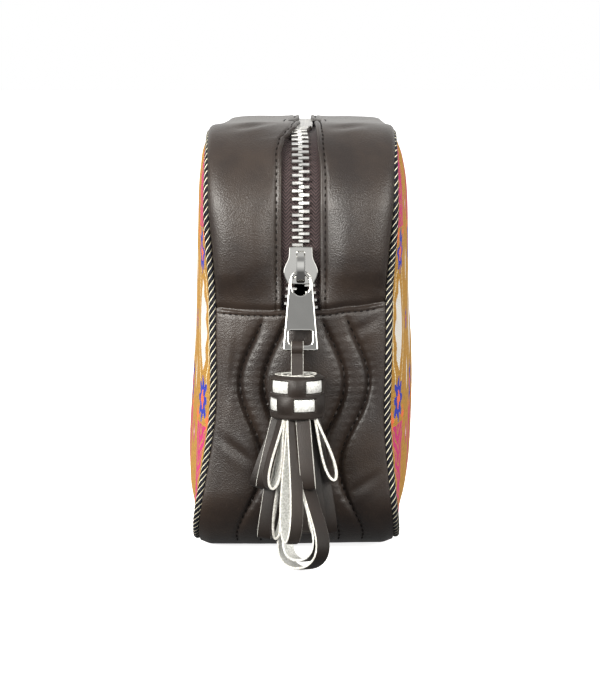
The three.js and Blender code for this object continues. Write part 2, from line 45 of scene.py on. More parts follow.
# Camera: a little above the bag, looking at the end that carries the zip pull
eye = {"place": (1030, 8, 180.8), "down": 6.2, "turn": 0.53, "focalPixels": 2365, "imageHeight": 686}
camera = bpy.data.objects.new("camera", bpy.data.cameras.new("camera"))
camera.data.lens = eye["focalPixels"] / eye["imageHeight"] * camera.data.sensor_width
camera.location = [distance * mm for distance in eye["place"]]
camera.rotation_euler = (math.radians(90 - eye["down"]), 0, math.radians(90 + eye["turn"]))
scene.collection.objects.link(camera)
scene.camera = camera
print("camera in place")


def lerp(start, end, share):
    return start + (end - start) * share


def smoothstep(value, low, high):
    share = np.clip((value - low) / (high - low), 0, 1)
    return share * share * (3 - 2 * share)


def bump(distance, width):
    return np.exp(-((distance / width) ** 2))


def fromTable(table, place):  # eases from each row of the table to the next
    keys = list(table)
    result = np.full(np.shape(place), float(table[keys[0]]))
    for low, high in zip(keys, keys[1:]):
        eased = lerp(table[low], table[high], smoothstep(place, low, high))
        result = np.where(place > low, eased, result)
    return result


# Colour and nodes
def linear(hexText):  # sRGB hex to the linear values that Blender's sockets take
    channels = [int(hexText[i:i + 2], 16) / 255 for i in (1, 3, 5)]
    return [c / 12.92 if c <= 0.04045 else ((c + 0.055) / 1.055) ** 2.4 for c in channels] + [1]


def addNode(tree, kind, links=(), **settings):  # links: socket name or place -> value, node or socket
    made = tree.nodes.new("ShaderNode" + kind)
    for name, value in settings.items():
        setattr(made, name, value)
    pairs = links.items() if isinstance(links, dict) else enumerate(links)
    for socket, value in pairs:
        source = value.outputs[0] if isinstance(value, bpy.types.Node) else value
        if isinstance(source, bpy.types.NodeSocket):
            tree.links.new(source, made.inputs[socket])
        else:
            made.inputs[socket].default_value = source
    return made


def startMaterial(name):  # the material, and addNode bound to its tree
    material = bpy.data.materials.new(name)
    material.use_nodes = True
    material.node_tree.nodes.clear()
    return material, partial(addNode, material.node_tree)


def surface(add, colour, rough, height, strength, depth, more):  # the end that most trees share; depth in mm
    normal = add("Bump", {"Strength": strength, "Distance": depth * mm, "Height": height})
    shade = add("BsdfPrincipled", {
        "Base Color": colour.outputs[2], "Roughness": rough, "Normal": normal, **more})
    add("OutputMaterial", {"Surface": shade})


# Nappa calf leather, drum-dyed and lightly finished: fine pebbles, soft broad highlights, cloudy dye
def nappaLeather(name, look):
    material, add = startMaterial(name)
    place = add("TexCoord").outputs["Object"]
    pebbles = add("TexVoronoi", {"Vector": place, "Scale": 1 / (look["pebble"] * mm), "Smoothness": 0.7},
                  feature="SMOOTH_F1")
    pores = add("TexNoise", {"Vector": place, "Scale": 1 / (look["pore"] * mm), "Detail": 3})
    creases = add("TexNoise", {"Vector": place, "Scale": 1 / (5 * mm), "Detail": 4, "Distortion": 0.4})
    clouds = add("TexNoise", {"Vector": place, "Scale": 1 / (26 * mm), "Detail": 4, "Roughness": 0.6})
    grain = add("Math", [pores, 0.5, pebbles], operation="MULTIPLY_ADD")
    relief = add("Math", [creases, look["creasing"], grain], operation="MULTIPLY_ADD")
    dye = add("MapRange", [clouds, 0.36, 0.66, 0, 1])
    colour = add("Mix", {0: dye, 6: linear(look["dark"]), 7: linear(look["light"])}, data_type="RGBA")
    worn = add("MapRange", [pebbles, 0, 0.7, look["rough"] - 0.05, look["rough"] + 0.08])
    surface(add, colour, worn, relief, look["relief"], 0.3, {
        "IOR": 1.5, "Specular IOR Level": look["gloss"], "Sheen Weight": 0.03, "Sheen Roughness": 0.5})
    return material


bagLeather = nappaLeather("nappa leather, drum-dyed brown", {
    "light": "#2e241d", "dark": "#1e1612", "pebble": 0.5, "pore": 0.25, "creasing": 0.1, "relief": 0.32,
    "rough": 0.32, "gloss": 0.5})
laceLeather = nappaLeather("lace leather, split and dyed brown", {  # darker and duller than the bag
    "light": "#2a211c", "dark": "#1b1511", "pebble": 0.5, "pore": 0.25, "creasing": 0.3, "relief": 0.16,
    "rough": 0.44, "gloss": 0.36})


# Foiled leather: silver foil hot-pressed on the flesh side, satin, with fine cracks along the bends
def foiledLeather(name, look):
    material, add = startMaterial(name)
    place = add("TexCoord").outputs["Object"]
    cracks = add("TexVoronoi", {"Vector": place, "Scale": 1 / (1.6 * mm)}, feature="DISTANCE_TO_EDGE")
    grain = add("TexNoise", {"Vector": place, "Scale": 1 / (0.8 * mm), "Detail": 4})
    rubbed = add("TexNoise", {"Vector": place, "Scale": 1 / (9 * mm), "Detail": 5})
    speckle = add("MapRange", [grain, 0.38, 0.6, 0, 1])
    colour = add("Mix", {0: speckle, 6: linear(look["dark"]), 7: linear(look["light"])}, data_type="RGBA")
    relief = add("Math", [grain, 0.5, cracks], operation="MULTIPLY_ADD")
    satin = add("MapRange", [rubbed, 0.3, 0.7, look["rough"] - 0.06, look["rough"] + 0.08])
    surface(add, colour, satin, relief, look["relief"], 0.2, {"Metallic": look["metallic"]})
    return material


silverLeather = foiledLeather("silver foiled leather, hot-pressed", {
    "light": "#f4f4f1", "dark": "#cfcfca", "metallic": 0.35, "rough": 0.36, "relief": 0.4})
cutEdge = foiledLeather("leather edge, cut and painted pale", {  # hardly any shine
    "light": "#dedcd6", "dark": "#b8b5ad", "metallic": 0.1, "rough": 0.6, "relief": 0.2})


# Nickel plate, tumbled on the brass teeth and polished on the zinc slider: soft gleam or mirror, faint haze
def platedMetal(name, look):
    material, add = startMaterial(name)
    place = add("TexCoord").outputs["Object"]
    haze = add("TexNoise", {"Vector": place, "Scale": 1 / (5 * mm), "Detail": 5})
    marks = add("TexNoise", {"Vector": place, "Scale": 1 / (0.9 * mm), "Detail": 3})
    rough = add("MapRange", [haze, 0.3, 0.7, 0.75 * look["rough"], 1.25 * look["rough"]])
    colour = add("Mix", {0: haze, 6: linear(look["dark"]), 7: linear(look["light"])}, data_type="RGBA")
    surface(add, colour, rough, marks, look["marks"], 0.1, {"Metallic": 1})
    return material


toothMetal = platedMetal("zip teeth, nickel-plated brass", {
    "light": "#e4e3e0", "dark": "#cfceca", "rough": 0.33, "marks": 0.04})
# painted shade: the slider and tab carry the same nickel plate as the teeth, toned darker
pullMetalPaintedDarker = platedMetal("zip slider, nickel-plated zinc", {
    "light": "#cccbc7", "dark": "#c0bfbb", "rough": 0.06, "marks": 0.004})


# Cotton brocade on a weft-ribbed ground: stepped motif edges, dull matt thread, slight sheen at a slant.
# A generic folk repeat of leaves, rosettes and sprigs, mirrored above and below one middle row.
# The threads lie 0.7 mm apart, coarser than real ones, so that they show.
def brocadeCloth():
    look = {
        "thread": 0.7, "repeat": 28.5, "axis": 114, "middle": 88, "ground": "#b38536", "slub": "#9c712a",
        "white": "#d6d2cb", "cream": "#d9cba6", "blue": "#2a35a0", "orange": "#dc6a3a", "pink": "#b82f6b",
        "leaf": (8, 18, 8), "bow": (8, 24, 13), "bowLine": 0.5, "seedAt": 22, "seed": (2.6, 7, 2.6),
        "rosetteAt": 29, "rosette": (7.4, 8, 1.8), "rosetteEye": (3.2, 4, 0.8),  # radius, petals, depth
        "budAt": (11.5, 36), "bud": (2.8, 4, 1.2), "star": (3.6, 8, 1.5), "starEye": (1.6, 4, 0.3),
        "branchSlope": 0.85, "branchEvery": 6.2, "branchShare": 0.78,
        "sprigFrom": 38.5, "sprig": (38, 74, 12, 4), "lozengeAt": 46, "lozenge": 5.6, "lozengeEye": 2.2,
        "slubs": (0.12, 1.4)}  # slubs to a mm along and up, so each is about 8 mm long and under 1 mm high
    material, add = startMaterial("cotton brocade, woven mustard ground")
    place = add("SeparateXYZ", [add("TexCoord").outputs["Object"]])
    lengthwise = add("Math", [place.outputs[0], 1 / mm], operation="MULTIPLY")
    height = add("Math", [place.outputs[2], 1 / mm], operation="MULTIPLY")
    warp = add("Math", [lengthwise, look["thread"]], operation="SNAP")  # motifs step by whole threads
    weft = add("Math", [height, look["thread"]], operation="SNAP")
    fromEnd = add("Math", [look["axis"], add("Math", [warp], operation="ABSOLUTE")], operation="SUBTRACT")
    aside = add("Math", [fromEnd, look["repeat"]], operation="PINGPONG")  # from a main motif's middle line
    between = add("Math", [look["repeat"], aside], operation="SUBTRACT")  # from a filling motif's middle line
    fromMiddle = add("Math", [weft, look["middle"]], operation="SUBTRACT")
    apart = add("Math", [fromMiddle], operation="ABSOLUTE")  # from the middle row, up or down

    def flower(x, y, radius, petals, depth):  # 1 inside the petals
        squares = [add("Math", [way, way], operation="MULTIPLY") for way in (x, y)]
        distance = add("Math", [add("Math", squares, operation="ADD")], operation="SQRT")
        turn = add("Math", [add("Math", [y, x], operation="ARCTAN2"), petals], operation="MULTIPLY")
        lobes = add("Math", [turn], operation="COSINE")
        reach = add("Math", [lobes, depth, radius], operation="MULTIPLY_ADD")
        return add("Math", [distance, reach], operation="LESS_THAN")

    def arch(distance, bend, reach, start):  # falls away from start by bend at reach
        squared = add("Math", [distance, distance], operation="MULTIPLY")
        return add("Math", [squared, -bend / reach ** 2, start], operation="MULTIPLY_ADD")

    leaf = add("Math", [aside, arch(apart, *look["leaf"])], operation="LESS_THAN")
    bow = add("Math", [aside, arch(apart, *look["bow"]), look["bowLine"]], operation="COMPARE")
    bowEnd = add("Math", [apart, look["bow"][1]], operation="LESS_THAN")
    bow = add("Math", [bow, bowEnd], operation="MULTIPLY")
    fromRosette = add("Math", [apart, look["rosetteAt"]], operation="SUBTRACT")
    rosette = flower(aside, fromRosette, *look["rosette"])
    rosetteEye = flower(aside, fromRosette, *look["rosetteEye"])
    fromBud = [add("Math", [way, at], operation="SUBTRACT") for way, at in zip((aside, apart), look["budAt"])]
    bud = flower(*fromBud, *look["bud"])
    branches = add("Math", [aside, look["branchSlope"], apart], operation="MULTIPLY_ADD")
    branchPhase = add("Math", [branches, 1 / look["branchEvery"]], operation="MULTIPLY")
    branchPhase = add("Math", [branchPhase], operation="FRACT")
    branchOn = add("Math", [branchPhase, look["branchShare"]], operation="LESS_THAN")
    sprigHalf = add("MapRange", [apart, *look["sprig"]])
    inSprig = add("Math", [aside, sprigHalf], operation="LESS_THAN")
    pastRosette = add("Math", [apart, look["sprigFrom"]], operation="GREATER_THAN")
    sprig = add("Math", [branchOn, inSprig], operation="MULTIPLY")
    sprig = add("Math", [sprig, pastRosette], operation="MULTIPLY")
    star = flower(between, apart, *look["star"])
    starEye = flower(between, apart, *look["starEye"])
    fromSeed = add("Math", [apart, look["seedAt"]], operation="SUBTRACT")
    seed = add("Math", [between, arch(fromSeed, *look["seed"])], operation="LESS_THAN")
    fromLozenge = add("Math", [apart, look["lozengeAt"]], operation="SUBTRACT")
    fromLozenge = add("Math", [fromLozenge], operation="ABSOLUTE")
    slanted = add("Math", [between, fromLozenge], operation="ADD")
    lozenge = add("Math", [slanted, look["lozenge"]], operation="LESS_THAN")
    lozengeEye = add("Math", [slanted, look["lozengeEye"]], operation="LESS_THAN")

    ways = zip((lengthwise, height), look["slubs"])
    drawn = [add("Math", [way, share], operation="MULTIPLY") for way, share in ways]
    slubs = add("TexNoise", {"Vector": add("CombineXYZ", drawn), "Scale": 1, "Detail": 3})
    slub = add("MapRange", [slubs, 0.35, 0.7, 0, 1])
    colour = add("Mix", {0: slub, 6: linear(look["ground"]), 7: linear(look["slub"])}, data_type="RGBA")
    raised = bow
    for mask, dye in ((bow, "cream"), (leaf, "white"), (rosette, "blue"), (rosetteEye, "orange"),
                      (bud, "orange"), (sprig, "pink"), (star, "blue"), (starEye, "orange"), (seed, "white"),
                      (lozenge, "pink"), (lozengeEye, "white")):
        colour = add("Mix", {0: mask, 6: colour.outputs[2], 7: linear(look[dye])}, data_type="RGBA")
        raised = add("Math", [raised, mask], operation="MAXIMUM")

    ribTurn = add("Math", [height, 2 * math.pi / look["thread"]], operation="MULTIPLY")
    rib = add("Math", [ribTurn], operation="SINE")
    warpTurn = add("Math", [lengthwise, 2 * math.pi / (2 * look["thread"])], operation="MULTIPLY")
    crossed = add("Math", [rib, add("Math", [warpTurn], operation="SINE")], operation="MULTIPLY")
    weave = add("Math", [crossed, 0.5, rib], operation="MULTIPLY_ADD")
    relief = add("Math", [raised, 1.6, weave], operation="MULTIPLY_ADD")
    # painted shade and highlight: the thread colour is darkened in the weave's grooves and lifted a little on
    # its raised threads
    paintedWeaveShade = add("MapRange", [weave, -1.5, 1.0, 0.7, 1.06])
    threadsWithPaintedShade = add("Mix", {0: 1, 6: colour.outputs[2], 7: paintedWeaveShade}, data_type="RGBA", blend_type="MULTIPLY")
    fuzz = add("MapRange", [slubs, 0.3, 0.7, 0.78, 0.92])
    surface(add, threadsWithPaintedShade, fuzz, relief, 0.5, 0.12, {
        "IOR": 1.45, "Specular IOR Level": 0.15, "Sheen Weight": 0.04})
    return material


brocade = brocadeCloth()


# Rayon cord, four strands twisted, each edged in cream: soft lustre, fine fibres along each strand
def twistedCord():
    look = {"cream": "#f4ecd0", "navy": "#080b1e", "black": "#070609", "share": 0.16, "secondShare": 0.6,
            "strands": 4, "fibres": 15, "fibreSlant": 0.4}
    material, add = startMaterial("rayon cord, four strands twisted")
    twist = add("SeparateXYZ", [add("UVMap", uv_map="twist")])
    turned = add("Math", [twist.outputs[0], twist.outputs[1]], operation="ADD")
    strand = add("Math", [turned, look["strands"]], operation="MULTIPLY")
    phase = add("Math", [strand], operation="FRACT")
    pale = add("Math", [phase, look["share"]], operation="LESS_THAN")
    second = add("Math", [phase, look["secondShare"]], operation="LESS_THAN")
    laid = add("Math", [phase, look["fibreSlant"], twist.outputs[1]], operation="MULTIPLY_ADD")
    laid = add("Math", [laid, 2 * math.pi * look["fibres"]], operation="MULTIPLY")
    lines = add("Math", [laid], operation="SINE")
    dark = add("Mix", {0: second, 6: linear(look["navy"]), 7: linear(look["black"])}, data_type="RGBA")
    colour = add("Mix", {0: pale, 6: dark.outputs[2], 7: linear(look["cream"])}, data_type="RGBA")
    # painted shade and highlight: the cord colour is darkened in the grooves between fibres and lifted a
    # little on their crests
    paintedGrooveShade = add("MapRange", [lines, -1, 1, 0.72, 1.05])
    fibreWithPaintedShade = add("Mix", {0: 1, 6: colour.outputs[2], 7: paintedGrooveShade}, data_type="RGBA", blend_type="MULTIPLY")
    lustre = add("MapRange", [lines, -1, 1, 0.62, 0.5])
    surface(add, fibreWithPaintedShade, lustre, lines, 0.4, 0.1, {"Specular IOR Level": 0.25, "Sheen Weight": 0.03})
    return material


cord = twistedCord()


# Polyester zip tape, herringbone twill: matt, dark, fine chevrons that run along the tape
def herringboneTape():
    look = {"light": "#412f2f", "dark": "#1b1314", "rib": 1.3, "chevron": 1.9}  # ribs drawn coarser to show
    material, add = startMaterial("polyester zip tape, herringbone weave")
    strip = add("SeparateXYZ", [add("UVMap", uv_map="strip")])
    fold = add("Math", [strip.outputs[1], look["chevron"]], operation="PINGPONG")
    slant = add("Math", [fold, 1.1, strip.outputs[0]], operation="MULTIPLY_ADD")
    wave = add("Math", [slant, 2 * math.pi / look["rib"]], operation="MULTIPLY")
    wave = add("Math", [wave], operation="SINE")
    # painted shade and light: the chevrons are the ribs' grooves drawn dark and their crests drawn light,
    # following the bump
    paintedRibLight = add("MapRange", [wave, -0.8, 0.9, 0, 1])
    colour = add("Mix", {0: paintedRibLight, 6: linear(look["dark"]), 7: linear(look["light"])}, data_type="RGBA")
    dull = add("MapRange", [wave, -1, 1, 0.9, 0.7])
    surface(add, colour, dull, wave, 0.6, 0.15, {"Sheen Weight": 0.1})
    return material


tapeCloth = herringboneTape()


# Bonded nylon sewing thread, dark, twisted: small dull glints along each stitch
def sewingThread():
    material, add = startMaterial("nylon thread, bonded twist")
    place = add("TexCoord").outputs["Object"]
    twist = add("TexNoise", {"Vector": place, "Scale": 1 / (0.3 * mm), "Detail": 2})
    colour = add("Mix", {0: twist, 6: linear("#0a0807"), 7: linear("#171210")}, data_type="RGBA")
    rough = add("MapRange", [twist, 0.3, 0.7, 0.6, 0.75])
    surface(add, colour, rough, twist, 0.3, 0.08, {"Specular IOR Level": 0.15})
    return material


thread = sewingThread()
print("materials mixed")


# Meshes: a part is points, faces, one uv pair for each face corner, and a finish number for each face
def tube(rings, uv, closed=False, finish=None):  # rings[row, column], each ring joined up
    rows, columns = rings.shape[:2]
    row, column = np.meshgrid(np.arange(rows if closed else rows - 1), np.arange(columns), indexing="ij")
    row, column = row.ravel(), column.ravel()
    cornerRow = np.stack([row, row, row + 1, row + 1], 1)
    cornerColumn = np.stack([column, column + 1, column + 1, column], 1)
    faces = ((cornerRow % rows) * columns + cornerColumn % columns).tolist()
    corners = uv[cornerRow, cornerColumn].reshape(-1, 2)
    finishes = [0] * len(faces) if finish is None else [finish[j] for j in column]
    if not closed:
        faces += [list(range(columns)), list(range((rows - 1) * columns, rows * columns))]
        corners = np.concatenate([corners, uv[0, :columns], uv[rows - 1, :columns]])
        finishes += [finishes[0], finishes[0]] if finish is None else [finish[-1], finish[-1]]
    return {"points": rings.reshape(-1, 3), "faces": faces, "uv": corners, "finish": finishes}


def stripUv(alongs, acrosses):
    return np.stack(np.meshgrid(alongs, acrosses, indexing="ij"), -1)


def circle(count):  # angles once round
    return np.linspace(0, 2 * math.pi, count, endpoint=False)


def runAlong(path):  # length so far at each point
    return np.append(0, np.cumsum(np.linalg.norm(np.diff(path, axis=0), axis=1)))


def joinParts(parts):
    counts = np.cumsum([0] + [len(part["points"]) for part in parts])
    return {
        "points": np.concatenate([part["points"] for part in parts]),
        "faces": [[start + i for i in face] for start, part in zip(counts, parts) for face in part["faces"]],
        "uv": np.concatenate([part["uv"] for part in parts]),
        "finish": [number for part in parts for number in part["finish"]]}


# How the soft bag settles: it leans at the foot, its lower edges lift off the table, its end seam tilts
settling = {
    "lean": 1.9, "leanOver": (8, 75), "lowOver": (2, 26), "edgeRise": 1.6, "edgeOver": (33, 39),
    "endRise": 0.9, "endTilt": 0.8, "endOver": (80, 118), "tiltOver": (-15, 36),
    "seamTilt": {-34: 0.5, -20: -0.2, -7: -0.4, 7: -0.1, 20: 1.3, 34: 2.8}, "seamReach": 15,
    "seamEnd": (110, 125), "zipClear": (7.5, 12)}


def settled(points):
    look = settling
    x, y, z = points.T
    low = 1 - smoothstep(z, *look["lowOver"])
    end = look["endRise"] + look["endTilt"] * smoothstep(y, *look["tiltOver"])
    end = smoothstep(np.abs(x), *look["endOver"]) * end
    rise = low * (look["edgeRise"] * smoothstep(np.abs(y), *look["edgeOver"]) + end)
    tilt = fromTable(look["seamTilt"], y) * bump(z - shell["seamZ"], look["seamReach"])
    tilt = tilt * smoothstep(x, *look["seamEnd"]) * smoothstep(np.abs(y), *look["zipClear"])
    return np.stack([x, y - look["lean"] * (1 - smoothstep(z, *look["leanOver"])), z + rise + tilt], 1)


def makePiece(name, part, finishes, body, replaces=(), uvName="strip", sharp=38):
    points = np.asarray(part["points"])
    points = settled(points) if body == "bag" else points
    mesh = bpy.data.meshes.new(name)
    mesh.from_pydata((points * mm).tolist(), [], part["faces"])
    mesh.uv_layers.new(name=uvName).data.foreach_set("uv", np.asarray(part["uv"], dtype=float).ravel())
    for finish in finishes:
        mesh.materials.append(finish)
    mesh.polygons.foreach_set("material_index", part["finish"])
    mesh.polygons.foreach_set("use_smooth", [True] * len(part["faces"]))
    shape = bmesh.new()
    shape.from_mesh(mesh)
    bmesh.ops.recalc_face_normals(shape, faces=shape.faces)
    shape.to_mesh(mesh)
    shape.free()
    mesh.set_sharp_from_angle(angle=math.radians(sharp))
    piece = bpy.data.objects.new(name, mesh)
    scene.collection.objects.link(piece)
    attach(piece, body)
    if replaces:
        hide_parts(*replaces)
    return piece


# The bag's shell: the sewing line runs round the end view, and the half depth gives the gusset's width
shell = {
    "halfLength": 130, "height": 162.5, "topRadius": 30, "baseRadius": 24, "seamZ": 96.2, "seamLift": 2,
    "pipingClear": {0: 0.6, 118: 0.6, 146: -0.9, 162.5: -0.9},
    "halfDepth": {0: 38.4, 62: 32.7, 96: 33.1, 134: 35.1, 162.5: 34.9}}
baseRun = shell["halfLength"] - shell["baseRadius"]
baseTurn = baseRun + quarter * shell["baseRadius"]
endRun = baseTurn + shell["height"] - shell["topRadius"] - shell["seamLift"] - shell["baseRadius"]
topTurn = endRun + quarter * shell["topRadius"]
halfLine = topTurn + shell["halfLength"] - shell["topRadius"]
lineLength = 2 * halfLine
nearSeam = baseTurn + shell["seamZ"] - shell["seamLift"] - shell["baseRadius"]
farSeam = lineLength - nearSeam
hands = {"front": -1, "back": 1}


def onLine(along):  # place on the sewing line and the direction out of the bag
    along = np.mod(along, lineLength)
    side = np.where(along > halfLine, -1, 1)
    near = np.where(along > halfLine, lineLength - along, along)
    low = np.clip((near - baseRun) / shell["baseRadius"], 0, quarter)
    high = np.clip((near - endRun) / shell["topRadius"], 0, quarter)
    up = np.clip(near - baseTurn, 0, endRun - baseTurn)
    back = np.clip(near - topTurn, 0, None)
    x = np.minimum(near, baseRun) + shell["baseRadius"] * np.sin(low)
    x = x + shell["topRadius"] * (np.cos(high) - 1) - back
    z = shell["seamLift"] + shell["baseRadius"] * (1 - np.cos(low)) + up + shell["topRadius"] * np.sin(high)
    angle = low + high - quarter
    return x * side, z, np.cos(angle) * side, np.sin(angle)


def onStrip(along, y, lift):
    x, z, outX, outZ = onLine(along)
    return np.stack(np.broadcast_arrays(x + lift * outX, y, z + lift * outZ), -1)


def halfDepthAt(along):
    return fromTable(shell["halfDepth"], onLine(along)[1])


def leatherEdge(along):  # the leather stops at the cord, and at the top it bulges over it
    return halfDepthAt(along) - fromTable(shell["pipingClear"], onLine(along)[1])


def ripples(along, y, seed, size, count=7):  # slow unevenness of soft hide, the same on every run
    draw = np.random.default_rng(seed)
    turns = draw.uniform(0, math.pi, count)
    stretches = draw.uniform(0.7, 1.6, count)
    starts = draw.uniform(0, 6.28, count)
    total = 0
    for turn, stretch, start in zip(turns, stretches, starts):
        run = along * np.cos(turn) + y * np.sin(turn)
        total = total + np.sin(run * 2 * math.pi / (size * stretch) + start)
    return total / count


# Creases, each a groove between two low lips: along, y, tilt from across, half length, width, depth
def creased(along, y, creases):
    total = 0
    for startAlong, startY, tilt, reach, width, depth in creases:
        turn = math.radians(tilt)
        run = (along - startAlong) * math.sin(turn) + (y - startY) * math.cos(turn)
        off = (along - startAlong) * math.cos(turn) - (y - startY) * math.sin(turn)
        lips = 0.45 * (bump(off - 1.9 * width, 1.3 * width) + bump(off + 1.9 * width, 1.3 * width))
        total = total + depth * bump(run, reach) * (lips - bump(off, width))
    return total


def tucked(edge, lift, steps):  # rows that turn in behind the piping, each so far out and down
    return [edge + out for out, down in steps], [lift[:, -1:] - down for out, down in steps]


# Leather beside the zip, from its rolled and topstitched fold over a soft crown to the piping
zipLeather = {
    "fold": 7.2, "roll": 0.9, "thickness": 1.6, "step": 0.9, "columns": 44, "overSeam": 0.8,
    "tuck": [(0.3, 0.7), (0.2, 1.3)], "rollTurns": [255, 228, 200, 172, 144, 116], "backColumns": 9,
    "foldLift": {0: 3.4, 46: 3.4, 62: 5.4, 82: 4.9, 120: 3.5, 180: 3.1},
    "edgeLift": {0: 0.6, 45: 0.6, 74: 2.3, 180: 2.0},
    "crown": {0: 5.0, 22: 7.4, 58: 3.5, 84: 4.2, 120: 2.9, 180: 2.5}, "crownShare": 0.42,
    "seamCrown": 4.6, "seamOver": 14, "seamSink": 1.1, "topstitch": 2.1, "sink": 0.6, "sinkWidth": 0.6,
    "unevenness": 0.5, "ripple": 26, "seed": 5,
    "zipRise": {52: 0, 84: -0.5, 120: -1.7, 180: -1.9},
    "wander": {50: 0, 66: -0.4, 74: -1.1, 84: 0, 92: 0.3, 230: 0.3, 300: 0},  # how the zip strays sideways
    "overlap": {  # how far each fold leans over the zip
        -1: {58: 0, 65: 1.3, 68: 3.4, 74: 6.4, 84: 6.8, 98: 5, 124: 0, 235: 0, 268: 4.4, 296: 4.4, 318: 0},
        1: {50: 0, 66: 0.6, 74: 0.5, 84: 2.2, 100: 2.4, 130: 0, 235: 0, 268: 4.6, 296: 4.6, 318: 0}},
    "creases": {
        1: [(nearSeam + 74, 18, 15, 7, 2.0, 0.5), (nearSeam + 6, 30, -35, 3.5, 1.0, 0.5)],
        -1: [(nearSeam + 76, 19, -20, 7, 2.2, 0.7), (nearSeam + 12, 20, -30, 9, 2.4, 0.2)]}}


def zipWander(along):
    return fromTable(zipLeather["wander"], along - nearSeam)


def zipRise(along):  # the top sags between its ends, and the zip sinks between the folds
    return fromTable(zipLeather["zipRise"], np.minimum(along - nearSeam, farSeam - along))


def foldAt(along, hand):
    return zipLeather["fold"] - fromTable(zipLeather["overlap"][hand], along - nearSeam)


def zipShare(along, y, hand):  # 0 at the fold, 1 at the piping
    fold = foldAt(along, hand)
    edge = leatherEdge(along)
    return np.clip((y - fold) / (edge - fold), 0, 1), edge


def zipLeatherLift(along, y, hand):
    look = zipLeather
    share, edge = zipShare(along, y, hand)
    fromSeam = np.minimum(along - nearSeam, farSeam - along)
    body = lerp(fromTable(look["foldLift"], fromSeam), fromTable(look["crown"], fromSeam),
                np.sin(np.clip(share / look["crownShare"], 0, 1) * quarter))
    low = fromTable(look["edgeLift"], fromSeam)
    lift = low + (body - low) * (1 - share ** 8) ** 0.5
    seamLift = low + look["seamCrown"] * np.clip(1 - (y / edge) ** 2, 0, 1) ** 0.7
    lift = lerp(seamLift, lift, smoothstep(fromSeam, 0, look["seamOver"]))
    lift = lift - look["seamSink"] * bump(fromSeam, 1.2)
    lift = lift - look["sink"] * bump(y - foldAt(along, hand) - look["topstitch"], look["sinkWidth"])
    uneven = look["unevenness"] * ripples(along, y, look["seed"] + hand, look["ripple"])
    return lift + np.sin(math.pi * share) * (uneven + creased(along, y, look["creases"][hand]))


def onZipLeather(along, y, lift, hand):
    return onStrip(along, hand * y + zipWander(along) * (1 - zipShare(along, y, hand)[0]), lift)


def zipLeatherPart(hand):
    look = zipLeather
    rows = round((farSeam - nearSeam) / look["step"])
    along = np.linspace(nearSeam - look["overSeam"], farSeam + look["overSeam"], rows)[:, None]
    edge = leatherEdge(along)
    rollTop = foldAt(along, hand) + look["roll"]
    y = lerp(rollTop, edge, np.linspace(0, 1, look["columns"]) ** 1.15)
    lift = zipLeatherLift(along, y, hand)
    turn = np.radians(look["rollTurns"])
    rollY = rollTop + look["roll"] * np.cos(turn)
    rollLift = lift[:, :1] - look["roll"] * (1 - np.sin(turn))
    innerY = lerp(rollTop, edge, np.linspace(0.97, 0.05, look["backColumns"]))
    innerLift = zipLeatherLift(along, innerY, hand) - look["thickness"]
    tuckY, tuckLift = tucked(edge, lift, look["tuck"])
    ys = np.concatenate([rollY, y, *tuckY, innerY], 1)
    lifts = np.concatenate([rollLift, lift, *tuckLift, innerLift], 1)
    return tube(onZipLeather(along, ys, lifts, hand), stripUv(along[:, 0], np.arange(ys.shape[1] + 1)))


for side, hand in hands.items():
    makePiece(side + "_zip_leather", zipLeatherPart(hand), [bagLeather], "bag",
              [side + "_zip_gusset"])
print("zip leathers sewn")

# Quilted base leather: padded channels pinched between waving stitch lines up both ends, flat under the bag
baseLeather = {
    "edgeLift": 0.6, "crown": 4.6, "thickness": 2.4, "columns": 100, "backColumns": 17, "flatRows": 46,
    "tuck": [(0.3, 0.7), (0.2, 1.4)], "stitch": 3.1, "topstitch": 2.1,
    "lines": (10.4, 19.6), "aside": 1.4, "sway": 5, "wave": 64, "crest": 28, "startsOver": 12,
    "slant": 0.94, "pinch": 0.95, "valley": 3.6, "puckerAt": 1.8, "puckerWidth": 1.5,
    "sink": 1.8, "swell": 0.6, "pucker": 0.1, "sag": 2.2, "sagOver": (42, 72), "sagAcross": (-10, 12),
    "rim": 0.2, "groove": 0.4, "seamSink": 1.1, "unevenness": 0.3, "ripple": 30, "seed": 21,
    "creases": [(nearSeam - 30, -29.8, 90, 17, 1.3, 0.7), (nearSeam - 24, -26.3, 82, 13, 1.4, 0.4),
                (nearSeam - 54, -24, -38, 9, 1.7, 0.7), (nearSeam - 34, 28.5, 96, 13, 1.4, 0.4),
                (nearSeam - 8, 24, 20, 7, 1.6, 0.4), (nearSeam - 68, 25, 35, 9, 1.6, 0.45)]}


def stitchLine(belowSeam, fromMiddle):
    look = baseLeather
    return fromMiddle + look["sway"] * np.cos(2 * math.pi * (belowSeam - look["crest"]) / look["wave"])


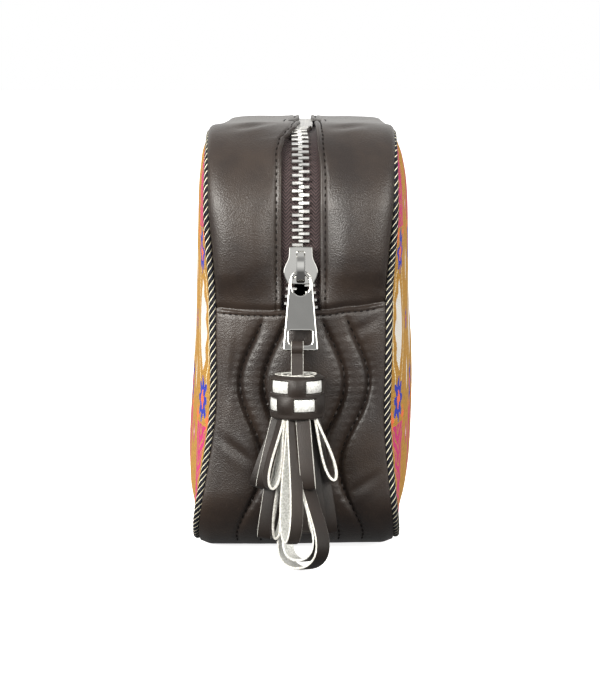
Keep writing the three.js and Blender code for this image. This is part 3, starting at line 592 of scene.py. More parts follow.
def baseLeatherLift(along, y):
    look = baseLeather
    standing = np.maximum(0, -onLine(along)[3])  # 0 up the ends, 1 under the bag
    belowSeam = nearSeam - np.abs(along)
    edge = leatherEdge(along)
    pillow = np.clip(1 - (y / edge) ** 2, 0, None) ** 0.7
    lift = lerp(look["edgeLift"], shell["seamLift"], standing) + look["crown"] * pillow * (1 - standing)
    depth = smoothstep(belowSeam, 0, look["startsOver"]) * (1 - standing)
    for fromMiddle in look["lines"]:
        off = (np.abs(y - look["aside"]) - stitchLine(belowSeam, fromMiddle)) * look["slant"]
        pinch = bump(off, look["pinch"]) + 0.5 * bump(off, look["valley"])
        pull = look["pucker"] * np.cos(2 * math.pi * belowSeam / look["stitch"])
        pull = pull * bump(np.abs(off) - look["puckerAt"], look["puckerWidth"])
        lift = lift + depth * (look["swell"] * (0.5 - pinch) - look["sink"] * pinch / 1.5 + pull)
    rolled = look["rim"] * bump(belowSeam - 1.0, 0.7)
    rolled = rolled - look["groove"] * bump(belowSeam - look["topstitch"], 0.7)
    rolled = rolled - look["seamSink"] * bump(belowSeam, 0.8)
    soft = np.clip(1 - np.abs(y / edge) ** 6, 0, 1) * (1 - standing)
    sag = look["sag"] * smoothstep(belowSeam, *look["sagOver"])  # the foot falls in, more to the back
    sag = sag * lerp(0.4, 1, smoothstep(y, *look["sagAcross"]))
    lift = lift - sag * soft
    lift = lift + rolled * np.clip(1 - np.abs(y / edge) ** 12, 0, 1)
    uneven = look["unevenness"] * ripples(along, y, look["seed"], look["ripple"])
    return lift + soft * (uneven + creased(along, y, look["creases"]))


def baseLeatherPart():
    look = baseLeather
    seamRows = [0.25, 0.45, 0.7, 1, 1.4, 1.8, 2.2, 2.6, 3, 3.4, 3.9, 4.5]  # closer together by the seam
    fine = np.concatenate([seamRows, np.arange(5.3, 108, 0.85)])
    flat = np.linspace(-baseRun, baseRun, look["flatRows"])[1:-1]
    along = np.concatenate([fine - nearSeam, flat, (nearSeam - fine)[::-1]])[:, None]
    edge = leatherEdge(along)
    even = np.linspace(-1, 1, look["columns"])
    y = edge * np.sin(quarter * even) * 0.25 + edge * even * 0.75  # closer together by the cords
    lift = baseLeatherLift(along, y)
    innerY = edge * np.linspace(0.98, -0.98, look["backColumns"])
    innerLift = baseLeatherLift(along, innerY) - look["thickness"]
    tuckY, tuckLift = tucked(edge, lift, look["tuck"])
    ys = np.concatenate([-tuckY[1], -tuckY[0], y, *tuckY, innerY], 1)
    lifts = np.concatenate([*tuckLift[::-1], lift, *tuckLift, innerLift], 1)
    return tube(onStrip(along, ys, lifts), stripUv(along[:, 0], np.arange(ys.shape[1] + 1)))


quilted = makePiece("base_leather", baseLeatherPart(), [bagLeather], "bag", ["base_gusset"])
print("base leather quilted")

# Cloth panels: bulging, with a rim that turns in behind the piping and puckers along the seam
clothPanel = {
    "inset": 1.2, "rimOver": 1.9, "levelOver": 3.4, "middleZ": 76, "low": 10, "lowZ": 18, "top": 6.6,
    "topZ": 137, "rings": 58, "columns": 420, "backRings": 14, "thickness": 1.8, "rimThickness": 1,
    "pucker": 0.3, "puckerEvery": 11, "puckerAt": 0.93, "puckerWidth": 0.045,
    "unevenness": 0.5, "ripple": 60, "seed": 40}


def clothPoints(along, share, hand, inward):
    look = clothPanel
    edge = onStrip(along, 0, -look["inset"])
    x = edge[..., 0] * share
    z = lerp(look["middleZ"], edge[..., 2], share)
    rim = fromTable(shell["halfDepth"], edge[..., 2]) + look["rimOver"]
    level = shell["halfDepth"][shell["height"]] + look["levelOver"]
    downward = np.clip(look["lowZ"] - z, 0, None) / (look["lowZ"] - shell["seamLift"])
    bulge = lerp(look["low"], look["top"], smoothstep(z, look["lowZ"], look["topZ"]))
    bulge = bulge * (1 - np.abs(x / shell["halfLength"]) ** 1.5) * (1 - np.clip(downward, 0, 1) ** 1.2)
    y = lerp(level + bulge, rim, share ** 9)
    soft = 1 - share ** 6
    y = y + look["unevenness"] * soft * ripples(x, z, look["seed"] + hand, look["ripple"])
    pucker = look["pucker"] * np.cos(2 * math.pi * along / look["puckerEvery"])
    y = y + pucker * bump(share - look["puckerAt"], look["puckerWidth"])
    return np.stack(np.broadcast_arrays(x, hand * (y - inward), z), -1)


def clothPanelPart(hand):
    look = clothPanel
    along = np.arange(look["columns"])[None, :] * lineLength / look["columns"]
    out = 1 - (1 - np.linspace(0, 1, look["rings"])[1:, None]) ** 1.5
    back = np.linspace(1, 0.02, look["backRings"])[:, None]
    outer = clothPoints(along, out, hand, 0)
    inner = clothPoints(along, back, hand, lerp(look["thickness"], look["rimThickness"], back ** 4))
    rings = np.concatenate([outer, inner])
    uv = rings[..., [0, 2]]
    return tube(rings, np.concatenate([uv, uv[:, :1]], 1))


for side, hand in hands.items():
    panel = makePiece(side + "_cloth", clothPanelPart(hand), [brocade], "bag", [side + "_panel"])
print("cloth panels stretched")

# Piping: a four-strand cord sewn along the edge, closed on itself
pipingCord = {
    "radius": 1.45, "beyond": 0.7, "lead": 11.6, "perLead": 16, "around": 20, "groove": 0.13, "strands": 4}


def pipingPart(hand):
    look = pipingCord
    turns = round(lineLength / look["lead"])
    rows = turns * look["perLead"]
    along = np.arange(rows)[:, None] * lineLength / rows
    angle = np.arange(look["around"])[None, :] * 2 * math.pi / look["around"]
    phase = along / lineLength * turns + hand * angle / (2 * math.pi)
    strands = np.abs(np.cos(look["strands"] * math.pi * phase)) ** 0.8
    radius = look["radius"] * (1 - look["groove"] + look["groove"] * strands)
    y = halfDepthAt(along) + look["beyond"] + radius * np.cos(angle)
    rings = onStrip(along, hand * y, radius * np.sin(angle))
    twist = np.arange(rows + 1) / rows * turns
    around = hand * np.arange(look["around"] + 1) / look["around"] + 0.5 / look["strands"]
    return tube(rings, stripUv(twist, around), closed=True)


for side, hand in hands.items():
    makePiece(side + "_cord", pipingPart(hand), [cord], "bag", [side + "_piping"],
              uvName="twist", sharp=80)
print("piping laid")

# Zip: tapes, interlocked teeth that part below the slider, and the slider itself
zipper = {
    "tapeEdge": 14, "tapeTuck": 2.5, "tapeLift": 1.5, "tape": 1, "tapeStep": 1.5, "tapeColumns": 10,
    "tapeGap": 0.3, "tapeSag": 0.12, "tapeWave": 9, "tapeFollow": 1.35, "pitch": 2.8,
    "firstTooth": 0.9, "sliderTop": 120.2, "parting": {6.5: 0, 8.7: 1.5, 14: 2.2, 24: 3.2}}


def partingAt(along):  # half the gap between the rows of teeth, only below the slider
    down = zipper["sliderTop"] - shell["seamZ"] + nearSeam - along
    return np.where(down > 0, fromTable(zipper["parting"], down), 0)


def tapePart(hand):
    look = zipper
    along = np.arange(nearSeam - look["tapeTuck"], farSeam + look["tapeTuck"], look["tapeStep"])[:, None]
    inside = look["tapeGap"] + partingAt(along)
    across = np.linspace(0, 1, look["tapeColumns"])
    y = lerp(inside, look["tapeEdge"], across)
    sag = look["tapeSag"] * np.sin(math.pi * across) * np.sin(along / look["tapeWave"])
    ys = np.concatenate([y, look["tapeEdge"] + 0 * along, inside], 1)
    under = look["tapeLift"] - look["tape"] + 0 * along
    lifts = np.concatenate([look["tapeLift"] + sag, under, under], 1) + look["tapeFollow"] * zipRise(along)
    closedRow = ys[40]  # above the slider
    uvAcross = np.append(closedRow, closedRow[0])
    return tube(onStrip(along, hand * ys + zipWander(along), lifts), stripUv(along[:, 0], uvAcross))


for side, hand in hands.items():
    makePiece(side + "_tape", tapePart(hand), [tapeCloth], "bag", [side + "_zip_tape"])

# One tooth, from its nose past the middle line to the legs clamped on the tape
tooth = {
    "across": [-0.95, -0.75, 0.3, 0.8, 1.4, 3.2, 3.55],
    "half": [0.36, 0.54, 0.57, 0.62, 0.63, 0.63, 0.48],
    "top": [3.05, 3.3, 3.35, 3.5, 3.5, 3.45, 3.0],
    "bottom": [2.3, 2.0, 1.9, 1.75, 1.7, 1.7, 1.9],
    "corner": 0.3}  # share of the half size that is rounded off


def toothPart(along, hand):
    shift = float(partingAt(np.array(along)))
    corner = tooth["corner"]
    section = [(-1, 1 - corner), (corner - 1, 1), (1 - corner, 1), (1, 1 - corner),
               (1, corner - 1), (1 - corner, -1), (corner - 1, -1), (-1, corner - 1)]
    sideways, upward = np.array(section).T
    rings = []
    for across, half, top, bottom in zip(tooth["across"], tooth["half"], tooth["top"], tooth["bottom"]):
        places = along + half * sideways
        lifts = (top + bottom) / 2 + (top - bottom) / 2 * upward
        rings.append(onStrip(places, hand * (across + shift) + zipWander(places), lifts + zipRise(places)))
    return tube(np.array(rings), stripUv(np.arange(len(rings)), np.arange(len(section) + 1)))


teeth = []
for hand in (1, -1):
    start = nearSeam + zipper["firstTooth"] + (zipper["pitch"] / 2 if hand < 0 else 0)
    places = np.arange(start, farSeam - zipper["firstTooth"], zipper["pitch"])
    teeth += [toothPart(along, hand) for along in places]
makePiece("zip_teeth", joinParts(teeth), [toothMetal], "bag", ["zip_chain"])
print("zip teeth set:", len(teeth))


def flatPlate(outline, holes, thickness, bevel):  # a plate with rounded edges, in x and y, centred on z
    curve = bpy.data.curves.new("plate", "CURVE")
    curve.dimensions = "2D"
    curve.fill_mode = "BOTH"
    curve.extrude = (thickness / 2 - bevel) * mm
    curve.bevel_depth = bevel * mm
    curve.bevel_resolution = 3
    curve.offset = -bevel * mm
    for loop in [outline, *holes]:
        spline = curve.splines.new("POLY")
        spline.points.add(len(loop) - 1)
        spline.points.foreach_set("co", np.array([(x * mm, y * mm, 0, 1) for x, y in loop]).ravel())
        spline.use_cyclic_u = True
    plate = bpy.data.objects.new("plate", curve)
    scene.collection.objects.link(plate)
    mesh = bpy.data.meshes.new_from_object(plate.evaluated_get(bpy.context.evaluated_depsgraph_get()))
    shape = bmesh.new()
    shape.from_mesh(mesh)
    bmesh.ops.remove_doubles(shape, verts=shape.verts, dist=0.002 * mm)
    points = np.array([vertex.co[:] for vertex in shape.verts]) / mm
    faces = [[vertex.index for vertex in face.verts] for face in shape.faces]
    shape.free()
    bpy.data.objects.remove(plate)
    bpy.data.curves.remove(curve)
    bpy.data.meshes.remove(mesh)
    corners = sum(len(face) for face in faces)
    return {"points": points, "faces": faces, "uv": np.zeros((corners, 2)), "finish": [0] * len(faces)}


def placed(part, origin, right, up):  # turns a part's own x and y to right and up, then moves it
    right, up = np.array(right, dtype=float), np.array(up, dtype=float)
    axes = np.stack([right, up, np.cross(right, up)])
    return {**part, "points": part["points"] @ axes + np.array(origin)}


def smoothLoop(points, count):  # an even closed curve through the points
    points = np.array(points, dtype=float)
    n = len(points)
    result = []
    for i in range(n):
        p0, p1, p2, p3 = (points[(i + k) % n] for k in (-1, 0, 1, 2))
        for t in np.arange(count) / count:
            result.append(0.5 * (2 * p1 + (p2 - p0) * t + (2 * p0 - 5 * p1 + 4 * p2 - p3) * t ** 2
                                 + (3 * p1 - p0 - 3 * p2 + p3) * t ** 3))
    return np.array(result)


# Slider: a bell-shaped plate over the teeth, side flanges, an under plate and a raised bridge for the tab
slider = {
    "face": 135.0, "bell": (134.4, 1.2, 0.42), "rail": (133.1, 2.2, 0.2), "under": (129.5, 1.2, 0.3),
    "post": (132, 4.4, 0.15), "railThick": 0.6, "underShare": 0.8,  # plates: x, thickness, bevel
    "bridgeHalf": 1.65, "bridgeTop": 118.2, "bridgeBottom": 107.2, "bridgeInside": 3.4, "bridgeThick": 1.3,
    "bridgeFoot": 0.3, "bridgeRounding": 0.4,
    "postOutline": [(0.9, 106.4), (0.9, 110.6), (0.3, 111.2), (-0.3, 111.2), (-0.9, 110.6), (-0.9, 106.4)],
    "halfWidth": {0: 3.6, 0.5: 4.4, 2.4: 4.5, 4.6: 4.8, 7: 5.9, 8.9: 6.5, 11: 6.3, 12.9: 5.5, 14.2: 4.1}}


def endPlate(outline, x, thickness, bevel):  # a plate that faces along the bag
    return placed(flatPlate(outline, [], thickness, bevel), (x, 0, 0), (0, 1, 0), (0, 0, 1))


def mirrored(points):
    return points + [(-y, z) for y, z in points][::-1]


def sliderPart():
    look = slider
    side = [(half, zipper["sliderTop"] - down) for down, half in look["halfWidth"].items()]
    parts = [endPlate(smoothLoop(mirrored(side), 4), *look["bell"])]
    for hand in (1, -1):
        outer = [(half * hand, z) for half, z in side[1:-1]]
        inner = [((half - look["railThick"]) * hand, z) for half, z in side[1:-1]]
        parts.append(endPlate(outer + inner[::-1], *look["rail"]))
    narrow = [(half * look["underShare"], z) for half, z in side[:-1]]
    parts.append(endPlate(smoothLoop(mirrored(narrow), 3), *look["under"]))
    parts.append(endPlate(look["postOutline"], *look["post"]))
    turn = np.linspace(0, math.pi, 25)
    rise = look["bridgeInside"] + look["bridgeThick"] / 2 + look["bridgeFoot"]
    x = look["face"] - look["bridgeFoot"] + rise * np.sin(turn) ** 0.45
    z = lerp(look["bridgeBottom"], look["bridgeTop"], 0.5 - 0.5 * np.cos(turn))
    parts.append(bentStrip(np.stack([x, 0 * turn, z], 1), (0, 1, 0), 2 * look["bridgeHalf"],
                           look["bridgeThick"], look["bridgeRounding"]))
    return joinParts(parts)


# A flat strip that follows a path, its width along across; finish numbers for outside, inside and edges
def bentStrip(path, across, width, thickness, rounding, finish=None, cup=0.0):
    path = np.asarray(path, dtype=float)
    across = np.broadcast_to(np.asarray(across, dtype=float), path.shape)
    tangent = np.gradient(path, axis=0)
    tangent = tangent / np.linalg.norm(tangent, axis=1)[:, None]
    outward = np.cross(tangent, across)
    outward = outward / np.linalg.norm(outward, axis=1)[:, None]
    half, thick, r = width / 2, thickness / 2, rounding
    section = [(r - half, thick), (-half / 3, thick + cup), (half / 3, thick + cup), (half - r, thick),
               (half, thick - r), (half, r - thick),
               (half - r, -thick), (half / 3, cup - thick), (-half / 3, cup - thick), (r - half, -thick),
               (-half, r - thick), (-half, thick - r)]
    rings = np.stack([path + across * w + outward * t for w, t in section], 1)
    if finish is not None:
        outside, inside, edge = finish
        finish = [outside] * 3 + [edge] * 3 + [inside] * 3 + [edge] * 3
    return tube(rings, stripUv(runAlong(path), np.arange(len(section) + 1)), finish=finish)


makePiece("zip_slider_body", sliderPart(), [pullMetalPaintedDarker], "bag", ["zip_slider"], sharp=10)

# Pull tab: a tapering plate with an eye round the bridge and a slot for the strap, its edges well rounded
tab = {
    "pivot": (136.7, 0, 110.2), "lean": 14, "thickness": 1.8, "bevel": 0.5, "top": 0.9, "shoulder": 4,
    "topHalf": 4.6, "endHalf": 6.7, "end": 29.5, "corner": 0.8, "eye": 0.4, "eyeEnd": 8.6, "eyeHalf": 3.4,
    "slot": 21.9, "slotEnd": 27.5, "slotHalf": 4.3, "slotCorner": 1.8}


def tabPart():
    look = tab
    arc = np.linspace(math.pi, 0, 25)
    rise = look["top"] + look["shoulder"]
    top = [(look["topHalf"] * math.cos(t), rise * math.sin(t) - look["shoulder"]) for t in arc]
    foot = []
    for hand, start in ((1, 0), (-1, -quarter)):
        for t in np.linspace(0, quarter, 7):
            foot.append((hand * (look["endHalf"] - look["corner"]) + look["corner"] * math.cos(start - t),
                         look["corner"] - look["end"] + look["corner"] * math.sin(start - t)))
    turn = circle(32)
    eyeMiddle = (look["eye"] + look["eyeEnd"]) / 2
    eyeTall = (look["eyeEnd"] - look["eye"]) / 2
    eyeHole = [(look["eyeHalf"] * math.cos(t), eyeTall * math.sin(t) - eyeMiddle) for t in turn]
    slotHole = []
    for hand, high, start in ((1, 1, 0), (-1, 1, quarter), (-1, 0, math.pi), (1, 0, 1.5 * math.pi)):
        radius = look["corner"] if high else look["slotCorner"]
        middleY = -look["slot"] - radius if high else radius - look["slotEnd"]
        for t in np.linspace(0, quarter, 6):
            slotHole.append((hand * (look["slotHalf"] - radius) + radius * math.cos(start + t),
                             middleY + radius * math.sin(start + t)))
    lean = math.radians(look["lean"])
    plate = flatPlate(top + foot, [eyeHole, slotHole], look["thickness"], look["bevel"])
    return placed(plate, look["pivot"], (0, 1, 0), (-math.sin(lean), 0, math.cos(lean)))


makePiece("pull_tab_plate", tabPart(), [pullMetalPaintedDarker], "pull", ["pull_tab"], sharp=10)
print("slider and tab cast")

# Tassel strap: one lace looped round the tab's lower bar, its two plies side by side down to the head
head = {
    "x": 147, "y": -1.2, "top": 73.3, "bottom": 56.5, "radius": 10.1, "belly": 0.5, "rows": 66,
    "columns": 192, "rimDrop": 0.6, "rimRound": 1.4, "rimOver": 1.1, "rimClear": 0.4}
strap = {
    "bar": (143.595, 82.547), "bend": 2.2, "wrap": 0.28, "width": 4.6, "thickness": 1.1, "apart": 0.62,
    "waist": (0.9, 4.6), "foot": 1.2, "rounding": 0.15}
lacedSides = [0, 1, 2]  # brown outside, silver inside, pale edges
laceFinishes = [laceLeather, silverLeather, cutEdge]


def strapPart():
    look = strap
    barX, barZ = look["bar"]
    turn = np.linspace(-look["wrap"] * math.pi, (1 + look["wrap"]) * math.pi, 29)
    loop = np.stack([barX + look["bend"] * np.cos(turn), barZ + look["bend"] * np.sin(turn)], 1)
    down = np.linspace(0, 1, 7)[1:, None]
    waist = np.array([barX + look["waist"][0], barZ - look["waist"][1]])
    foot = np.array([head["x"], head["top"] - look["foot"]])
    apart = np.array([look["apart"], 0])
    front = lerp(waist + apart, foot + apart, down)
    rear = lerp(waist - apart, foot - apart, down)
    outline = np.concatenate([front[::-1], [waist + apart], loop, [waist - apart], rear])
    path = np.stack([outline[:, 0], np.full(len(outline), head["y"]), outline[:, 1]], 1)
    return bentStrip(path[::-1], (0, 1, 0), look["width"], look["thickness"], look["rounding"],
                     finish=lacedSides)


makePiece("tassel_strap_lace", strapPart(), laceFinishes, "tassel_drop", ["tassel_strap"])

# Tassel head: a rolled strip whose silver bands weave under four crossings each, with the roll's edges on top
weaving = {
    "half": 2.5, "groove": 1.5, "grooveEdge": 0.15, "crossShare": 0.46, "crossEdge": 1.2, "crossRise": 0.5,
    "crossTall": 3.4, "bandDepth": 0.55, "bandDip": 0.55, "bandClear": 0.25, "bandThick": 0.7,
    "bandColumns": 120, "bands": {"upper": (69, 0), "lower": (62.2, -27)}}  # height, turn in degrees


def headRadius(z):
    share = np.clip((z - head["bottom"]) / (head["top"] - head["bottom"]), 0, 1)
    return head["radius"] + head["belly"] * np.sin(math.pi * share)


def aroundHead(radius, angle, z):
    x = head["x"] + radius * np.cos(angle)
    y = head["y"] + radius * np.sin(angle)
    return np.stack(np.broadcast_arrays(x, y, z), -1)


def fromCrossing(angle, turn):  # degrees from the middle of the nearest of four crossings
    return np.abs((np.degrees(angle) - turn + 45) % 90 - 45)


def crossing(angle, turn):  # 1 where a brown strip lies over the band
    half = weaving["crossShare"] * 45
    return 1 - smoothstep(fromCrossing(angle, turn), half - weaving["crossEdge"], half + weaving["crossEdge"])


def headPart():
    look = weaving
    angle = circle(head["columns"])[None, :]
    z = np.linspace(head["bottom"], head["top"] - head["rimDrop"], head["rows"])[:, None]
    radius = headRadius(z) + 0 * angle
    shoulder = np.minimum(z - head["bottom"], head["top"] - head["rimClear"] - z)
    radius = radius - head["rimRound"] * np.clip(1 - shoulder / head["rimOver"], 0, 1) ** 2
    for bandZ, turn in look["bands"].values():
        fromBand = np.abs(z - bandZ)
        edge = look["grooveEdge"]
        inBand = 1 - smoothstep(fromBand, look["half"] - edge, look["half"] + edge)
        over = crossing(angle, turn)
        off = fromCrossing(angle, turn) / (look["crossShare"] * 45)
        rise = np.clip(1 - off ** 2, 0, 1) * np.cos(np.clip(fromBand / look["crossTall"], 0, 1) * quarter)
        radius = radius + look["crossRise"] * rise * 2 ** 0.5 * over - look["groove"] * inBand * (1 - over)
    return tube(aroundHead(radius, angle, z), stripUv(z[:, 0], np.arange(head["columns"] + 1)))


roll = {
    "inside": 2.8, "outside": 9.1, "pitch": 2.3, "thickness": 0.6, "depth": 4, "rounding": 0.15,
    "start": 2.4, "waver": 0.22, "sink": 0.5}


def rollPart():
    turns = (roll["outside"] - roll["inside"]) / roll["pitch"]
    turn = np.linspace(0, 2 * math.pi * turns, round(turns * 44))
    radius = roll["inside"] + roll["pitch"] * turn / (2 * math.pi)
    z = head["top"] - roll["depth"] / 2 + roll["waver"] * np.sin(turn * 1.7)
    z = z - roll["sink"] * (1 - radius / roll["outside"])
    path = aroundHead(radius, turn + roll["start"], z)
    return bentStrip(path, (0, 0, 1), roll["depth"], roll["thickness"], roll["rounding"], finish=lacedSides)


# Lace loops under the head: out and side, each at the root and at the tip, then drop, belly, facing,
# how late it opens, the finish of its edges, and width
loops = [
    ((1, 3), (-6.5, -12.9), 26.4, 2.6, 80, 2, 2, 5.4),
    ((-2, -1), (-5.2, -15.6), 26.6, 2.6, 74, 2, 0, 5.4),
    ((5, 8), (-5.4, -10.2), 25.9, 2.8, 22, 2.5, 2, 5.4),
    ((7, 11), (2, 4.4), 25.7, 2.6, 88, 2, 2, 5.4),
    ((3, 6), (6, 14), 23.1, 2.4, 6, 2, 2, 5.4),
    ((-4, -1), (-5, -12.5), 46.3, 3.4, 82, 2, 2, 5.4),
    ((-1, 2), (-3, -8.7), 46, 2.4, 14, 2.5, 2, 5.4),
    ((6, 16.2), (-1.5, -2.3), 45.2, 4.2, -57, 2.2, 2, 5.4),
    ((0, 12.5), (0.5, 2.6), 55.5, 12, -50, 5, 2, 6.3),
    ((0, 12), (0.4, 2.4), 52.6, 9.6, -50, 6, 1, 5.0),
    ((0, 5), (3.5, 8.6), 44, 3.0, 96, 2, 0, 5.4),
    ((-3, 1), (5.5, 12.4), 44, 3.2, 102, 2, 0, 5.4),
    ((1, 4), (1.5, 3.8), 43.5, 3.0, 55, 2, 2, 5.4),
    ((-5, -4), (0, 1), 42, 3.0, 90, 2, 0, 5.4)]
lace = {"thickness": 0.9, "rounding": 0.15, "cup": 0.1, "root": 2.5, "points": 64, "apart": 0.5}


def loopPart(out, side, drop, belly, facing, pinch, edge, width):
    root = np.array([out[0], side[0], lace["root"]])
    tip = np.array([out[1], side[1], -drop])
    length = np.linalg.norm(root - tip)
    up = (root - tip) / length
    turn = math.radians(facing)
    normal = np.array([math.cos(turn), math.sin(turn), 0])
    normal = normal - up * normal.dot(up)
    normal = normal / np.linalg.norm(normal)
    across = np.cross(up, normal)
    t = np.linspace(0.02, 2 * math.pi - 0.02, lace["points"])
    spread = np.sin(t) * np.sin(t / 2) ** pinch
    together = lace["apart"] * np.sign(math.pi - t) * np.exp(-4 * np.sin(t / 2))
    spread = (belly - lace["thickness"] / 2) * spread / spread.max() + together
    down = (length - lace["thickness"] / 2) * (1 - np.cos(t)) / 2
    path = root + across * spread[:, None] - up * down[:, None]
    path = path + np.array([head["x"], head["y"], head["bottom"]])
    return bentStrip(path, -normal, width, lace["thickness"], lace["rounding"], finish=[0, 1, edge],
                     cup=lace["cup"])


parts = [headPart(), rollPart()] + [loopPart(*row) for row in loops]
makePiece("tassel_laces", joinParts(parts), laceFinishes, "tassel_drop", ["tassel"])


def bandPart(bandZ, turn):
    look = weaving
    angle = circle(look["bandColumns"])[:, None]
    outside = headRadius(bandZ) - look["bandDepth"] - look["bandDip"] * crossing(angle, turn)
    half = look["half"] - look["bandClear"]
    deep = -look["bandThick"]
    section = [(-0.2, -half), (0, -half + 0.25), (0.12, 0), (0, half - 0.25), (-0.2, half),
               (deep, half), (deep, -half)]  # out from the band's face, up from its middle
    out, up = np.array(section).T
    uv = stripUv(np.arange(look["bandColumns"] + 1), np.arange(len(section) + 1))
    return tube(aroundHead(outside + out, angle, bandZ + up), uv, closed=True)


for place, (bandZ, turn) in weaving["bands"].items():
    makePiece("silver_strip_" + place, bandPart(bandZ, turn), [silverLeather], "tassel_drop",
              ["silver_band_" + place])
print("tassel tied")

# Stitches: short sunk lengths of thread along each sewn line
sewing = {
    "zip": (2.8, 1.4, 0.6), "seam": (2.4, 1.3, 0.6), "quilt": (3.1, 1.7, 0.7),  # spacing, length, width
    "proud": 0.1, "quiltProud": 0.12, "zipFrom": 3, "seamHalf": 30.5, "quiltOver": (4.5, 98)}


def stitchRow(points, outward, spacing, length, width):
    runs = runAlong(points)
    middles = np.arange(spacing / 2, runs[-1] - spacing / 2, spacing)
    turn = circle(6)
    ends = [(-1, 0.25), (-0.8, 0.75), (0, 1), (0.8, 0.75), (1, 0.25)]  # share of the half length, thickness
    parts = []
    for middle in middles:
        at, ahead, out = (np.array([np.interp(place, runs, row) for row in rows.T])
                          for place, rows in ((middle, points), (middle + 0.5, points), (middle, outward)))
        run = ahead - at
        run = run / np.linalg.norm(run)
        aside = np.cross(out, run)
        spokes = [aside * math.cos(t) + out * math.sin(t) for t in turn]
        rings = np.array([[at + run * share * length / 2 + thick * width / 2 * spoke for spoke in spokes]
                          for share, thick in ends])
        parts.append(tube(rings, stripUv(np.arange(len(ends)), np.arange(len(turn) + 1))))
    return parts


def outwardOn(along):
    outX, outZ = onLine(along)[2:]
    return np.stack([outX, 0 * outX, outZ], 1)


def sewOnBase(along, y, proud, stitch):
    sewn = onStrip(along, y, baseLeatherLift(along, y) + proud)
    return stitchRow(sewn, outwardOn(along), *stitch)


stitches = []
along = np.arange(nearSeam + sewing["zipFrom"], farSeam - sewing["zipFrom"], 0.6)
for hand in (1, -1):
    y = foldAt(along, hand) + zipLeather["topstitch"]
    sewn = onZipLeather(along, y, zipLeatherLift(along, y, hand) + sewing["proud"], hand)
    stitches += stitchRow(sewn, outwardOn(along), *sewing["zip"])
seamY = np.arange(-sewing["seamHalf"], sewing["seamHalf"], 0.5)
belowSeam = np.arange(*sewing["quiltOver"], 0.5)
for end in (1, -1):
    along = np.full(seamY.shape, end * (nearSeam - baseLeather["topstitch"]))
    stitches += sewOnBase(along, seamY, sewing["proud"], sewing["seam"])
    along = end * (nearSeam - belowSeam)
    for fromMiddle in baseLeather["lines"]:
        for hand in (1, -1):
            y = hand * stitchLine(nearSeam - np.abs(along), fromMiddle) + baseLeather["aside"]
            stitches += sewOnBase(along, y, sewing["quiltProud"], sewing["quilt"])
makePiece("stitching", joinParts(stitches), [thread], "bag")
print("stitches sewn:", len(stitches))

# Floor, light and surroundings, in metres: a lit white table in a dim room, soft boxes round the bag
studio = {
    "floor": 160, "tableGlow": 0.85, "room": 0.56, "before": 1.1, "above": 0.44, "below": 0.16,
    "ceiling": 0.85, "backdrop": 1.0, "bandOver": (0.16, 0.32), "beforeOver": (0.2, 0.95), "leftShare": 0.55,
    "ceilingOver": (0.55, 0.8), "belowOver": (-0.3, -0.02), "lamp": "#fffdf7"}
softBoxes = {  # place, size across and up, watts
    "front left": ((1.05, -0.7, 0.58), (0.75, 0.55), 24),
    "front right": ((1.05, 0.7, 0.58), (0.75, 0.55), 11),
    "left": ((-0.7, -1.1, 0.4), (0.6, 0.9), 10),
    "right": ((-0.7, 1.1, 0.4), (0.6, 0.9), 9.5),
    "left rim": ((0.62, -1.2, 0.35), (0.45, 0.9), 4),
    "right rim": ((0.62, 1.2, 0.35), (0.45, 0.9), 2.5),
    "back": ((-1.2, 0, 0.9), (2.4, 1.2), 6)}
aim = Vector((0.08, 0, 0.09))


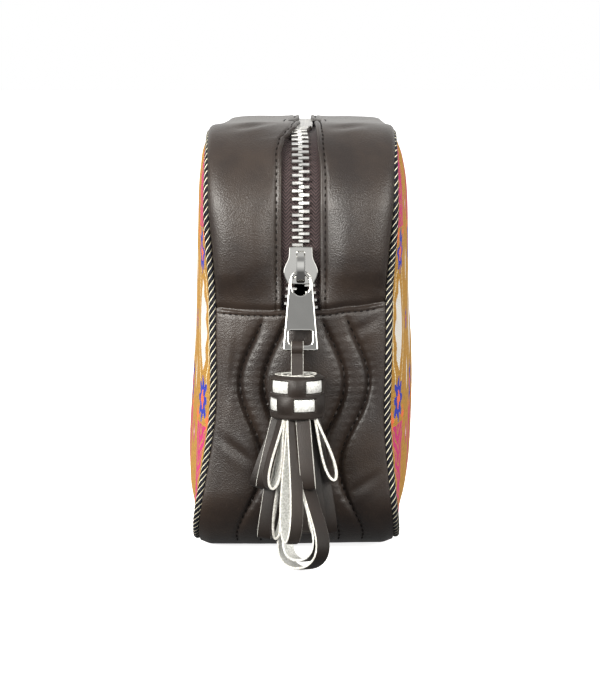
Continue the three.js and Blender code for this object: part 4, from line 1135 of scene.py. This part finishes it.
# Opal acrylic table, lit from inside: even white with the faintest shadow at the foot
def opalAcrylic():
    material, add = startMaterial("opal acrylic, cast")
    place = add("TexCoord").outputs["Object"]
    mottle = add("TexNoise", {"Vector": place, "Scale": 1 / (40 * mm), "Detail": 2})
    colour = add("Mix", {0: mottle, 6: linear("#f8f8f8"), 7: linear("#fefefe")}, data_type="RGBA")
    shade = add("BsdfPrincipled", {
        "Base Color": colour.outputs[2], "Roughness": 0.8, "Emission Color": linear("#ffffff"),
        "Emission Strength": studio["tableGlow"]})
    add("OutputMaterial", {"Surface": shade})
    return material


half = studio["floor"] / 2
floorMesh = bpy.data.meshes.new("floor")
corners = [(-half, -half, 0), (half, -half, 0), (half, half, 0), (-half, half, 0)]
floorMesh.from_pydata(corners, [], [(0, 1, 2, 3)])
floorMesh.materials.append(opalAcrylic())
floor = bpy.data.objects.new("floor", floorMesh)
scene.collection.objects.link(floor)
floor.visible_diffuse = False  # the table shows white but throws no light up on the bag
floor.visible_glossy = False

world = bpy.data.worlds.new("room")
world.use_nodes = True
world.node_tree.nodes.clear()
add = partial(addNode, world.node_tree)
direction = add("SeparateXYZ", [add("TexCoord").outputs["Generated"]])
ahead, toRight, up = direction.outputs
band = add("MapRange", [up, *studio["bandOver"], studio["before"], studio["above"]])
toLeft = add("Math", [toRight, -studio["leftShare"], ahead], operation="MULTIPLY_ADD")
before = add("MapRange", [toLeft, *studio["beforeOver"], studio["room"], band])
over = add("MapRange", [up, *studio["ceilingOver"], before, studio["ceiling"]])
dim = add("MapRange", [up, *studio["belowOver"], studio["below"], over])
seen = add("LightPath").outputs["Is Camera Ray"]
strength = add("Mix", {0: seen, 2: dim, 3: studio["backdrop"]})
background = add("Background", {"Color": linear("#ffffff"), "Strength": strength})
add("OutputWorld", {"Surface": background})
scene.world = world

for name, (place, size, watts) in softBoxes.items():
    light = bpy.data.lights.new(name, "AREA")
    light.shape = "RECTANGLE"
    light.size, light.size_y = size
    light.energy = watts
    light.color = linear(studio["lamp"])[:3]
    box = bpy.data.objects.new(name, light)
    box.location = place
    box.rotation_euler = (aim - Vector(place)).to_track_quat("-Z", "Y").to_euler()
    box.visible_camera = False
    box.visible_glossy = name not in ("left", "right")  # these light the cloth without streaking the leather
    scene.collection.objects.link(box)
scene.view_settings.view_transform = "Standard"
print("studio lit")
